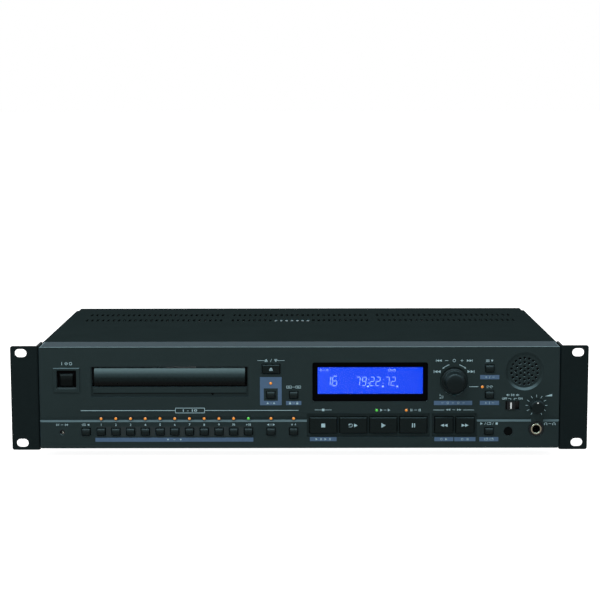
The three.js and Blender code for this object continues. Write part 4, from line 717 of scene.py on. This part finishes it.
def signs(build, kinds, at, width, size, front=FACE, back=INTO):
    """Signs of one height, named in one text, spread over a width."""
    kinds = kinds.split()
    for index, kind in enumerate(kinds):
        x = at[0] + ((index + 0.5) / len(kinds) - 0.5) * width
        for form, *points in SIGNS[kind]:
            path = [(x + a * size, at[1] + b * size) for a, b in points]
            if form == "fill":
                build.prism(path, front, back)
            else:
                thick = size * STROKE * (BOLD if form == "bold" else 1)
                build.ribbon(path, thick, front, back, form == "loop")


WELD = 1e-5
FONT_BOLD = 0.02


def words(build, text, at, height, width=None):
    """Plain numbers and the words of a switch, from the built-in font, set to a height."""
    curve = bpy.data.curves.new("words", "FONT")
    curve.body = text
    curve.resolution_u = 2
    curve.offset = FONT_BOLD
    curve.extrude = (INTO - FACE) / 2
    holder = bpy.data.objects.new("words", curve)
    scene.collection.objects.link(holder)
    drawn = holder.evaluated_get(bpy.context.evaluated_depsgraph_get()).to_mesh()
    work = bmesh.new()
    work.from_mesh(drawn)
    bmesh.ops.remove_doubles(work, verts=work.verts, dist=WELD)
    work.verts.index_update()
    xs = [v.co.x for v in work.verts]
    ys = [v.co.y for v in work.verts]
    rise = height / (max(ys) - min(ys))
    reach = width / (max(xs) - min(xs)) if width else rise
    left = at[0] - (max(xs) + min(xs)) / 2 * reach
    foot = at[1] - (max(ys) + min(ys)) / 2 * rise
    depth = (FACE + INTO) / 2
    build.add(
        [(left + v.co.x * reach, depth - v.co.z, foot + v.co.y * rise) for v in work.verts],
        [[v.index for v in face.verts] for face in work.faces],
    )
    work.free()
    bpy.data.objects.remove(holder)
    bpy.data.curves.remove(curve)


def at_node(node, shift, z):
    """A place as far across from a node's middle, or from the panel's where there is no node."""
    return (middle(node)[0] if node else 0) + shift, z


# Signs over the controls: node and shift across, place up, signs, their spread and height
PANEL_SIGNS = (
    ("power_key", 0, 73.3, "bar power ring", 11, 2.6),
    ("open_close_key", 0, 75.7, "long eject slash load long", 20, 2.5),
    ("display_key", 0, 53.2, "frame dash frame", 11.5, 2.3),
    (None, -199.1, 21.4, "waves dash waves", 11, 2.1),
    ("clear_key", 0, 21.4, "erase back", 7.6, 2.0),
    ("cue_key", 0, 21.3, "back bar play", 7.0, 2.0),
    ("flash_key", 0, 21.3, "bolt bolt", 5.6, 2.3),
    ("dial_knob", 0, 75.4, "skip_back dash ring plus skip_forward", 32, 2.7),
    ("dial_knob", -14.1, 66.1, "skip_back", 0, 3.3),
    ("dial_knob", 13.9, 66.1, "skip_forward", 0, 3.3),
    ("dial_knob", -10.6, 46.3, "press", 0, 2.1),
    ("dial_knob", -10.6, 43.9, "enter", 0, 2.1),
    ("menu_key", 0, 75.2, "menu down", 7.2, 2.1),
    ("menu_key", 0, 53.2, "cycle cycle", 5.6, 2.3),
    (None, 178.4, 46.3, "speaker waves speaker", 12, 2.3),
    ("level_knob", 9.9, 46.1, "wedge", 0, 2.3),
    ("stop_key", 0, 33.8, "long square long", 12, 2.4),
    (None, 71.8, 33.6, "play dash play", 9.5, 2.3),
    (None, 97.2, 33.6, "bars dash bars", 10.5, 2.3),
    (None, 129.2, 33.8, "rewind dash forward", 14, 2.4),
    ("play_mode_key", 0, 22.0, "play slash repeat slash square", 16, 2.2),
    ("phones_jack", 11.4, 21.85, "phones dash phones", 10.4, 2.4),
)
labels = [str(n) for n in range(1, 11)] + ["+10"]
number_keys = [f"number_{label.replace('+', 'plus_')}_key" for label in labels]
NUMBER_Z = 21.35
NUMBER_HEIGHT = 2.0
SWITCH_WORDS = (("OFF", (171.6, 43.2)), ("ON", (184.9, 43.2)))
SWITCH_HEIGHT = 1.8
marks = Build()
for node, shift, z, kinds, width, size in PANEL_SIGNS:
    signs(marks, kinds, at_node(node, shift, z), width, size)
for label, name in zip(labels, number_keys):
    words(marks, label, at_node(name, 0, NUMBER_Z), NUMBER_HEIGHT)
for text, at in SWITCH_WORDS:
    words(marks, text, at, SWITCH_HEIGHT)

# Lines over the lamps, at the search keys, the dial and the switch, with a frame for the lamps' range
FRAME = (-91.6, 33.45)
FRAME_WIDTH = 24.4
FRAME_HEIGHT = 4.1
FRAME_LINE = 0.4
FRAME_CORNER = 0.3
FRAME_STOP = 12.4
RANGE_WIDTH = 12
LINES = (
    (0.45, (-183.2, FRAME[1]), (FRAME[0] - FRAME_STOP, FRAME[1])),
    (0.45, (FRAME[0] + FRAME_STOP, FRAME[1]), (-0.75, FRAME[1])),
    (0.4, (112.2, 33.6), (121.2, 33.6)),
    (0.4, (137.2, 33.6), (146.2, 33.6)),
    (0.45, (141.9, 53.3), (149.6, 53.3)),
    (0.35, (174.6, 43.3), (176.9, 43.3), (176.9, 42.0)),
    (0.35, (181.9, 43.3), (179.7, 43.3), (179.7, 42.0)),
)
for width, *path in LINES:
    marks.ribbon(path, width, FACE, INTO)
frame_path = rounded(FRAME, FRAME_WIDTH, FRAME_HEIGHT, FRAME_CORNER, 2)
marks.ribbon(frame_path, FRAME_LINE, FACE, INTO, closed=True)
words(marks, "1 - 10", FRAME, NUMBER_HEIGHT, RANGE_WIDTH)

# Two arrows round the dial and a scale round the level knob
ARROW_LINE = 0.45
ARROW_RADIUS = 14.2
ARROW_ANGLES = (17, 38)
ARROW_TIP = 44
ARROW_HALF = 0.75
dial_at = middle("dial_knob")
for side in (-1, 1):
    sweep = arc(dial_at, ARROW_RADIUS, *(90 - side * angle for angle in ARROW_ANGLES), 6)
    marks.ribbon(sweep, ARROW_LINE, FACE, INTO)
    tip = Vector(arc(dial_at, ARROW_RADIUS, 90 - side * ARROW_TIP, 90, 1)[0])
    tail = Vector(sweep[-1])
    along = (tip - tail).normalized()
    across = Vector((-along.y, along.x)) * ARROW_HALF
    marks.prism([tuple(tip), tuple(tail + across), tuple(tail - across)], FACE, INTO)
TICKS = 11
TICK_START = 240
TICK_STEP = 30
TICK_LINE = 0.4
TICK_REACH = (7.0, 9.1)
level_x, level_z = middle("level_knob")
for step in range(TICKS):
    angle = math.radians(TICK_START - TICK_STEP * step)
    path = [(level_x + r * math.cos(angle), level_z + r * math.sin(angle)) for r in TICK_REACH]
    marks.ribbon(path, TICK_LINE, FACE, INTO)
make("panel_marks", marks, print_white, "housing")

# Plates: node and shift across, place up, width, height, and the signs on it with their spread and height
PLATES = (
    (None, -105.0, 8.6, 132.6, 3.4, "down dash down", 16, 1.7),
    ("display_key", 0, 39.7, 12.8, 3.4, "lock dash lock", 9, 2.2),
    ("dial_knob", -0.7, 39.6, 32, 3.6, "dash ring dash ring dash", 22, 1.9),
    ("menu_key", 0, 61.4, 16, 3.6, "plus slash dash", 9, 2.0),
    ("menu_key", 0, 39.6, 16, 3.6, "plus bar dash", 9, 2.0),
    ("play_mode_key", 0, 8.7, 16, 3.6, "repeat repeat", 9, 2.0),
    ("stop_key", 0, 8.9, 22.3, 3.4, "play bars play bars", 15, 1.9),
    ("search_back_key", 0, 8.75, 15.9, 3.4, "ring play", 8, 1.9),
    ("search_forward_key", 0, 8.7, 17.8, 3.4, "ring bars", 9, 1.9),
)
PLATE_CORNER = 0.15
PLATE_FACE = -0.06
plates = Build()
plate_marks = Build()
for node, shift, z, width, height, kinds, spread, size in PLATES:
    at = at_node(node, shift, z)
    plates.prism(rounded(at, width, height, PLATE_CORNER, 2), FACE, INTO)
    signs(plate_marks, kinds, at, spread, size, PLATE_FACE, INTO)

# The shift key's plate runs round it and its lamp
SHIFT_PLATE = (18.1, 23.8)
SHIFT_PLATE_Z = 49.8
SHIFT_HOLE = (11.8, 10.6)
SHIFT_HOLE_RISE = 0.3
SHIFT_SIGNS_Z = 39.7
SHIFT_LAMP_Z = 56.5
shift_x, shift_z = middle("shift_key")
plates.band(
    rounded((shift_x, SHIFT_PLATE_Z), *SHIFT_PLATE, PLATE_CORNER, 2),
    rounded((shift_x, shift_z + SHIFT_HOLE_RISE), *SHIFT_HOLE, PLATE_CORNER, 2),
    FACE,
    INTO,
)
signs(plate_marks, "up dash up", (shift_x, SHIFT_SIGNS_Z), 8, 1.9, PLATE_FACE, INTO)
make("print_plates", plates, print_blue, "housing")
make("plate_marks", plate_marks, print_white, "housing")

# A darker print behind the row of number keys
PAD_X = (-170.2, -39.0)
PAD_Z = (11.6, 19.8)
PAD_FACE = (-0.02, INTO)
PAD_MARGIN = 0.2
key_low, key_high, key_mid = span(number_keys[0])
half_x = (key_high.x - key_low.x) / 2 - rim + PAD_MARGIN
half_z = (key_high.z - key_low.z) / 2 - rim + PAD_MARGIN
row = (key_mid.z - half_z, key_mid.z + half_z)
pad = Build()
pad.box(PAD_X, PAD_FACE, (PAD_Z[0], row[0]))
pad.box(PAD_X, PAD_FACE, (row[1], PAD_Z[1]))
bounds = [PAD_X[0]]
for name in number_keys:
    x = middle(name)[0]
    bounds += [x - half_x, x + half_x]
bounds.append(PAD_X[1])
for left, right in zip(bounds[::2], bounds[1::2]):
    if right - left > 0.1:
        pad.box((left, right), PAD_FACE, row)
make("key_row_print", pad, dark_print_and_painted_shade, "housing")

# Lamps: domed lenses, orange and green

LENS_RADIUS = 1.25
DOME = ((0, -0.75), (0.5, -0.66), (0.8, -0.42), (0.95, -0.1), (1, 0.3), (1, 1.0), (0, 1.0))
ROW_LAMPS = 26.6
orange_lamps = [at_node(name, 0, ROW_LAMPS) for name in (*number_keys[:-1], "cue_key", "flash_key")]
orange_lamps += [(shift_x, SHIFT_LAMP_Z), (89.54, 33.5), (152.92, 53.2)]
green_lamps = [at_node(number_keys[-1], 0, ROW_LAMPS), (64.73, 33.5)]
for name, lamps, base, glow in (
    ("orange", orange_lamps, (200, 120, 30), (240, 150, 50)),
    ("green", green_lamps, (60, 150, 50), (86, 226, 74)),
):
    lenses = Build()
    for lamp in lamps:
        lenses.turned([(share * LENS_RADIUS, y) for share, y in DOME], lamp, sides=20)
    lens = Surface(name + "_lens", colour(*base), 0.3, 0.3).glow(colour(*glow), 0.42)
    make("lamps_" + name, lenses, lens.mottle(0.8, 0.06).grain(0.9, 0.01).material, "housing", sharp=60)

# Display: gloss border with a clear pane over a lit face with slanted segments

lcd_low, lcd_high, lcd_mid = span("lcd_window")
VIEW_X = 59.25
VIEW_Z = 58.6
VIEW_WIDTH = 87.9
VIEW_HEIGHT = 22.5
VIEW_CORNER = 0.4
BORDER_CORNER = 1.5
border = Build()
outer = rounded((lcd_mid.x, lcd_mid.z), lcd_high.x - lcd_low.x, lcd_high.z - lcd_low.z, BORDER_CORNER, 6)
inner = rounded((VIEW_X, VIEW_Z), VIEW_WIDTH, VIEW_HEIGHT, VIEW_CORNER, 6)
border.band(outer, inner, lcd_low.y, lcd_high.y)
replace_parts(make("window_border", border, black_gloss_and_painted_shade, "housing", 0.2), "lcd_window")

PANE_SLACK = 0.02
PANE_SINK = 0.15
PANE_REST = 0.5
clear = Surface("clear_pane", (1, 1, 1, 1), 0.02)
clear.put({"Transmission Weight": 1.0, "IOR": 1.12}).grain(6.0, 0.001, 0.1)
pane = Build()
outline = rounded((VIEW_X, VIEW_Z), VIEW_WIDTH - PANE_SLACK, VIEW_HEIGHT - PANE_SLACK, VIEW_CORNER, 6)
pane.prism(outline, lcd_low.y + PANE_SINK, lcd_high.y - PANE_REST)
make("window_pane", pane, clear.material, "housing")

LIT_Y = lcd_high.y + 0.25
LIT_THICK = 0.8
LIT_HALF_X = 44.8
LIT_HALF_Z = 12.0
lit = Surface("lit_blue", colour(4, 8, 30), 0.5, 0.02)
lit_share = lit.scale_range(lit.axis("X"), 0.0, 1.0, *((VIEW_X + s * VIEW_WIDTH / 2) * MM for s in (-1, 1)))
lit_tone = lit.mix(lit_share, colour(30, 78, 252), colour(10, 68, 248))
lit.link(lit_tone, lit.shader.inputs["Emission Color"])
lit.put({"Emission Strength": 0.95}).mottle(5, 0.08).grain(0.4, 0.01)
face = Build()
face.box(
    (VIEW_X - LIT_HALF_X, VIEW_X + LIT_HALF_X),
    (LIT_Y, LIT_Y + LIT_THICK),
    (VIEW_Z - LIT_HALF_Z, VIEW_Z + LIT_HALF_Z),
)
make("display_face", face, lit.material, "housing")

SEGMENTS = {
    "a": ((0.1, 1), (0.9, 1)),
    "b": ((1, 0.94), (1, 0.54)),
    "c": ((1, 0.46), (1, 0.06)),
    "d": ((0.1, 0), (0.9, 0)),
    "e": ((0, 0.46), (0, 0.06)),
    "f": ((0, 0.94), (0, 0.54)),
    "g": ((0.1, 0.5), (0.9, 0.5)),
}
DIGITS = {"1": "bc", "2": "abged", "6": "afgedc", "7": "abc", "9": "abcdfg"}
SLANT = 0.11
DIGIT_FOOT = 54.0
DIGIT_LINE = 0.42
INK = (LIT_Y - 0.06, LIT_Y + 0.02)
# Groups of digits: text, left end, pitch, width and height
GROUPS = (
    ("16", 21.8, 5.5, 3.8, 8.2),
    ("79", 47.2, 5.05, 3.1, 7.3),
    ("22", 58.9, 5.0, 3.1, 7.3),
    ("72", 71.6, 5.0, 3.1, 7.3),
)
COLONS = (57.5, 69.8)
COLON_DOTS = (56.2, 59.3)
COLON_RADIUS = 0.35
POINTS = (57.4, 69.9, 82.0)
POINT_Z = 53.4
POINT_SIZE = (1.5, 1.2)
DISPLAY_SIGNS = (("ring dash ring", (20.8, 67.2), 8, 1.9), ("repeat repeat", (77.4, 67.0), 7, 1.7))
digits = Build()
for text, left, pitch, width, height in GROUPS:
    for index, char in enumerate(text):
        start = left + index * pitch
        for segment in DIGITS[char]:
            ends = SEGMENTS[segment]
            path = [(start + width * a + SLANT * height * b, DIGIT_FOOT + height * b) for a, b in ends]
            digits.ribbon(path, DIGIT_LINE, *INK)
for x in COLONS:
    for z in COLON_DOTS:
        digits.prism(circle((x + SLANT * (z - DIGIT_FOOT), z), COLON_RADIUS, 10), *INK)
for x in POINTS:
    digits.prism(rounded((x, POINT_Z), *POINT_SIZE, 0.3, 3), *INK)
for kinds, at, width, size in DISPLAY_SIGNS:
    signs(digits, kinds, at, width, size, *INK)
ink = Surface("lit_segments", colour(120, 150, 235), 0.5, 0.1).glow(colour(138, 160, 232), 0.8)
ink.mottle(1.0, 0.1).grain(0.4, 0.01)
make("display_segments", digits, ink.material, "housing")

# Symbols on the keys, each riding on its own key: key, signs, their spread and height

KEY_SIGNS = (
    ("open_close", "eject", 0, 3.0),
    ("stop", "square", 0, 3.9),
    ("call", "recall play", 8.0, 3.3),
    ("play", "play", 0, 4.0),
    ("pause", "bars", 0, 3.8),
    ("search_back", "rewind", 0, 3.9),
    ("search_forward", "forward", 0, 3.9),
)
for name, kinds, width, size in KEY_SIGNS:
    low, _, mid = span(name + "_key")
    symbol = Build()
    signs(symbol, kinds, (mid.x, mid.z), width, size, low.y + FACE, low.y + INTO)
    make(name + "_symbol", symbol, print_white, name + "_key")

# Selector dial: a domed, finely fluted cap on a skirt, profiles as (radius, place along its axis)

dial_low, dial_high, _ = span("dial_knob")
CAP = ((0, 0), (2.0, 0.03), (4.0, 0.14), (5.6, 0.33), (6.6, 0.55), (7.2, 0.85), (7.55, 1.25), (7.75, 1.8))
SKIRT = ((8.5, -0.4), (8.55, -0.15), (8.9, 0.1), (9.7, 0.15), (10.1, 0.35), (10.25, 0.8))
SKIRT_Y = -1.7
DIAL_FLUTES = 36
FLUTE_DEPTH = 0.018
DIAL_RADIUS = 10.25
DIAL_HOLLOW = 2.8


def dial_wave(angle, place):
    fluted = dial_low.y + 1.7 < place < SKIRT_Y - 0.2
    return 1 - FLUTE_DEPTH * (0.5 - 0.5 * math.cos(DIAL_FLUTES * angle)) if fluted else 1


profile = [(radius, dial_low.y + y) for radius, y in CAP] + [(radius, SKIRT_Y + y) for radius, y in SKIRT]
profile += [(DIAL_RADIUS, dial_high.y), (2.6, dial_high.y)]
profile += [(radius, dial_low.y + DIAL_HOLLOW) for radius in (2.5, 0)]
dial = Build()
dial.turned(profile, dial_at, sides=144, wave=dial_wave)
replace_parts(make("selector_cap", dial, knob_plastic, "dial_knob", sharp=50), "dial_knob")

# Level knob: ribbed, with a white dot

level_low, level_high, _ = span("level_knob")
LEVEL_FRONT = ((0, 0.15), (3.4, 0.1), (4.9, 0), (5.3, 0.25), (5.5, 0.8), (5.55, 1.1))
LEVEL_BACK = ((5.95, -0.3), (5.9, 0), (3.3, 0))
LEVEL_HOLLOW = 1.7
LEVEL_RIBS = 18
LEVEL_RIB_DEPTH = 0.05


def rib_wave(angle, place):
    fluted = place > level_low.y + 0.9
    return 1 - LEVEL_RIB_DEPTH * (0.5 + 0.5 * math.cos(LEVEL_RIBS * angle)) ** 2 if fluted else 1


profile = [(radius, level_low.y + y) for radius, y in LEVEL_FRONT]
profile += [(radius, level_high.y + y) for radius, y in LEVEL_BACK]
profile += [(radius, level_low.y + LEVEL_HOLLOW) for radius in (3.2, 0)]
knob = Build()
knob.turned(profile, (level_x, level_z), sides=108, wave=rib_wave)
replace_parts(make("level_cap", knob, knob_plastic, "level_knob", sharp=50), "level_knob")
DOT = (level_x - 0.1, level_z + 3.7)
DOT_RADIUS = 0.62
dot = Build()
dot.prism(circle(DOT, DOT_RADIUS, 14), level_low.y - 0.02, level_low.y + 0.4)
make("level_dot", dot, mark_white, "level_knob")

# Speaker switch: ribs and a white line on the lever

lever_low, lever_high, lever_mid = span("switch_lever")
LEVER_X = 177.0
RIBS = (-2.6, -1.7, 1.7, 2.6)
RIB_WIDTH = 0.5
RIB_SHORT = 0.6
RIB_PROUD = 0.25
LINE_SIZE = (1.2, 5.4)
ribs = Build()
rib_height = lever_high.z - lever_low.z - RIB_SHORT
for shift in RIBS:
    outline = rounded((LEVER_X + shift, lever_mid.z), RIB_WIDTH, rib_height, 0.2, 2)
    ribs.prism(outline, lever_low.y - RIB_PROUD, lever_low.y + 0.1)
make("lever_ribs", ribs, black_plastic, "switch_lever")
stripe = Build()
stripe.prism(rounded((LEVER_X, lever_mid.z), *LINE_SIZE, 0.2, 2), lever_low.y - 0.05, lever_low.y + 0.1)
make("lever_line", stripe, mark_white, "switch_lever")

# Phones socket: black collar with the body behind, plated sleeve and dark throat

phones = middle("phones_jack")
phones_back = span("phones_jack")[1].y
COLLAR = ((4.7, -0.35), (5.3, -0.6), (5.95, -0.55), (6.2, -0.2), (6.2, 3.3), (4.7, 3.3))
SLEEVE = ((3.2, -0.4), (3.45, -0.85), (3.9, -1.1), (4.35, -0.95), (4.62, -0.5), (4.62, 3.35), (3.2, 3.35))
INNER = ((2.9, 0.9), (3.18, 0.4), (3.18, 3.35), (2.9, 3.35))
JACK_SIDE = 14
JACK_BORE = 3.3
JACK_FRONT = 3.4


def ring(profile, at, sides=40):
    made = Build()
    made.turned(profile, at, sides=sides, closed=True)
    return made


collar = ring(COLLAR, phones)
collar.band(
    rounded(phones, JACK_SIDE, JACK_SIDE, 0.6, 6),
    circle(phones, JACK_BORE, 28),
    JACK_FRONT,
    phones_back,
)
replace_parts(make("phones_body", collar, black_plastic, "housing", sharp=50), "phones_jack")
make("phones_sleeve", ring(SLEEVE, phones), old_nickel, "housing", sharp=50)
make("phones_throat", ring(INNER, phones), black_plastic, "housing", sharp=50)

# Remote socket: a dark barrel with a sprung contact at its lower right

REMOTE = (-199.15, 15.0)
BARREL = ((1.3, 1.2), (1.9, 1.1), (2.1, 1.3), (2.1, 2.6), (1.3, 2.6))
CONTACT_ARC = (1.0, -80, 10, 6)
CONTACT_WIDTH = 0.5
CONTACT_Y = (0.9, 2.4)
make("remote_ring", ring(BARREL, REMOTE, 24), black_plastic, "housing", sharp=50)
contact = Build()
contact.ribbon(arc(REMOTE, *CONTACT_ARC), CONTACT_WIDTH, *CONTACT_Y)
make("remote_contact", contact, nickel, "housing", 0.1)

# A polished strip under the middle vents, its crest against the cover

COVER_SKIN = 1.06
CREST = span("top_cover")[1].z - COVER_SKIN
BOW = ((170.0, -2.2), (176.0, -1.2), (181.6, -0.25), (182.8, 0), (184.0, -0.5), (185.0, -2.0))
STRIP_THICK = 0.5
STRIP_X = (-26.5, 8.5)
strip = Build()
bow = [(y, CREST + z) for y, z in BOW]
bow += [(y, CREST + z - STRIP_THICK) for y, z in reversed(BOW)]
strip.run(bow, *STRIP_X)
make("vent_strip", strip, bright_steel, "housing")

# Screws: black ones in the cover's sides and the ears' flanges, plated ones round the rear plate; their
# crosses are black inlays, painted shade for the recesses

HEAD = ((0, 1.2), (1.3, 1.15), (2.5, 0.75), (3.0, 0.0), (0, 0.0))
CROSS_LONG = 1.7
CROSS_THIN = 0.3
CROSS_DEPTH = (0.8, 1.24)
QUARTERS = ((1, 0), (0, 1), (-1, 0), (0, -1))


def plus(at):
    a, b = CROSS_LONG, CROSS_THIN
    quarter = [(a, -b), (a, b), (b, b)]
    corners = [(c * x - s * z, s * x + c * z) for c, s in QUARTERS for x, z in quarter]
    return [(at[0] + x, at[1] + z) for x, z in corners]


def screws(name, places, material):
    """Cross-headed screws, each at an axis, a place across it, a face and the way out of the face."""
    heads = Build()
    cross_shades = Build()
    for axis, at, face, out in places:
        heads.turned([(radius, face + out * rise) for radius, rise in HEAD], at, axis, 20)
        drawn = cross_shades.prism if axis == "y" else cross_shades.run
        drawn(plus(at), *(face + out * rise for rise in CROSS_DEPTH))
    make(name + "_screws", heads, material, "housing", sharp=50)
    make(name + "_screw_slot_shades", cross_shades, black_gloss_and_painted_shade, "housing")


COVER_SCREWS = ((60, 24), (150, 24), (240, 24))
EAR_SCREWS = ((15, 22), (15, 66))
EAR_SKIN = 2
REAR_SCREWS = (*((x, 79) for x in (-206, -70, 70, 206)), *((x, 9) for x in (-206, -110, 0, 110, 206)))
REAR_FACE = 263
cover_low, cover_high, _ = span("top_cover")
flange = span("rack_ear_right")[0].x + EAR_SKIN
side_places = []
for side, cover_side in ((-1, cover_low.x), (1, cover_high.x)):
    side_places += [("x", at, cover_side, side) for at in COVER_SCREWS]
    side_places += [("x", at, side * flange, side) for at in EAR_SCREWS]
screws("side", side_places, cover_paint)
screws("rear", [("y", at, REAR_FACE, 1) for at in REAR_SCREWS], nickel)

# Stage: a pale floor and a white background that the camera sees, also in gloss and through the pane

FLOOR_TONE = (0.86, 0.86, 0.86, 1)
FLOOR_LIFT = 0.9
FLOOR_REACH = 40
FLOOR_GAP = 0.2 * MM
AMBIENT = 0.5


def straight_rays(tree):
    """1 for rays from the camera, from gloss or through glass, and 0 for the rest."""
    path = tree.nodes.new("ShaderNodeLightPath")
    value = path.outputs["Is Camera Ray"]
    for other in ("Is Glossy Ray", "Is Transmission Ray"):
        most = tree.nodes.new("ShaderNodeMath")
        most.operation = "MAXIMUM"
        tree.links.new(value, most.inputs[0])
        tree.links.new(path.outputs[other], most.inputs[1])
        value = most.outputs[0]
    return value


white = bpy.data.materials.new("pale_floor")
white.use_nodes = True
tree = white.node_tree
tree.nodes.clear()
lit_floor = tree.nodes.new("ShaderNodeBsdfDiffuse")
lit_floor.inputs["Color"].default_value = FLOOR_TONE
lift = tree.nodes.new("ShaderNodeEmission")
gain = tree.nodes.new("ShaderNodeMath")
gain.operation = "MULTIPLY"
gain.inputs[1].default_value = FLOOR_LIFT
total = tree.nodes.new("ShaderNodeAddShader")
out = tree.nodes.new("ShaderNodeOutputMaterial")
tree.links.new(straight_rays(tree), gain.inputs[0])
tree.links.new(gain.outputs[0], lift.inputs["Strength"])
tree.links.new(lit_floor.outputs[0], total.inputs[0])
tree.links.new(lift.outputs[0], total.inputs[1])
tree.links.new(total.outputs[0], out.inputs["Surface"])

floor_mesh = bpy.data.meshes.new("floor")
corners = oblong(-FLOOR_REACH, -FLOOR_REACH, FLOOR_REACH, FLOOR_REACH)
floor_mesh.from_pydata([(x, y, 0) for x, y in corners], [], [[0, 1, 2, 3]])
floor = bpy.data.objects.new("floor", floor_mesh)
scene.collection.objects.link(floor)
floor_mesh.materials.append(white)
floor.location.z = cad_low.z - FLOOR_GAP
floor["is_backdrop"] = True

world = bpy.data.worlds.new("studio")
scene.world = world
world.use_nodes = True
sky_tree = world.node_tree
sky = sky_tree.nodes["Background"]
sky.inputs["Color"].default_value = (1, 1, 1, 1)
strength = sky_tree.nodes.new("ShaderNodeMapRange")
strength.inputs["To Min"].default_value = AMBIENT
strength.inputs["To Max"].default_value = 1.0
sky_tree.links.new(straight_rays(sky_tree), strength.inputs["Value"])
sky_tree.links.new(strength.outputs["Result"], sky.inputs["Strength"])

# Lights and camera, places in metres of the frame except the camera's


def softbox(name, place, target, size, power):
    data = bpy.data.lights.new(name, "AREA")
    data.shape = "RECTANGLE"
    data.size, data.size_y = size
    data.energy = power
    lamp = bpy.data.objects.new(name, data)
    scene.collection.objects.link(lamp)
    lamp.location = place
    lamp.rotation_euler = (Vector(target) - Vector(place)).to_track_quat("-Z", "Y").to_euler()
    return lamp


KEY_WATTS = 12
SHEEN_WATTS = 170
softbox("key_light", (-0.5, -0.9, 1.3), (0, -0.05, 0.05), (1.4, 0.8), KEY_WATTS)
sheen_light = softbox("sheen_light", (0, -0.55, 1.5), (0, 0.0, 0.05), (2.6, 1.1), SHEEN_WATTS)
sheen_light.data.color = (0.55, 0.88, 1.0)
sheen_light.visible_diffuse = False

CAMERA_PLACE = (5.8687, -1430.035, 291.250)
CAMERA_TURN = (82.0718, 0.1167, 0.1928)
camera_data = bpy.data.cameras.new("camera")
camera_data.sensor_width = 36
camera_data.lens = 104.0147
camera_data.shift_y = 41 / 600
camera = bpy.data.objects.new("camera", camera_data)
scene.collection.objects.link(camera)
camera.location = ORIGIN + Vector(CAMERA_PLACE) * MM
camera.rotation_euler = [math.radians(a) for a in CAMERA_TURN]
scene.camera = camera

scene.view_settings.view_transform = "Standard"

low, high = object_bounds()
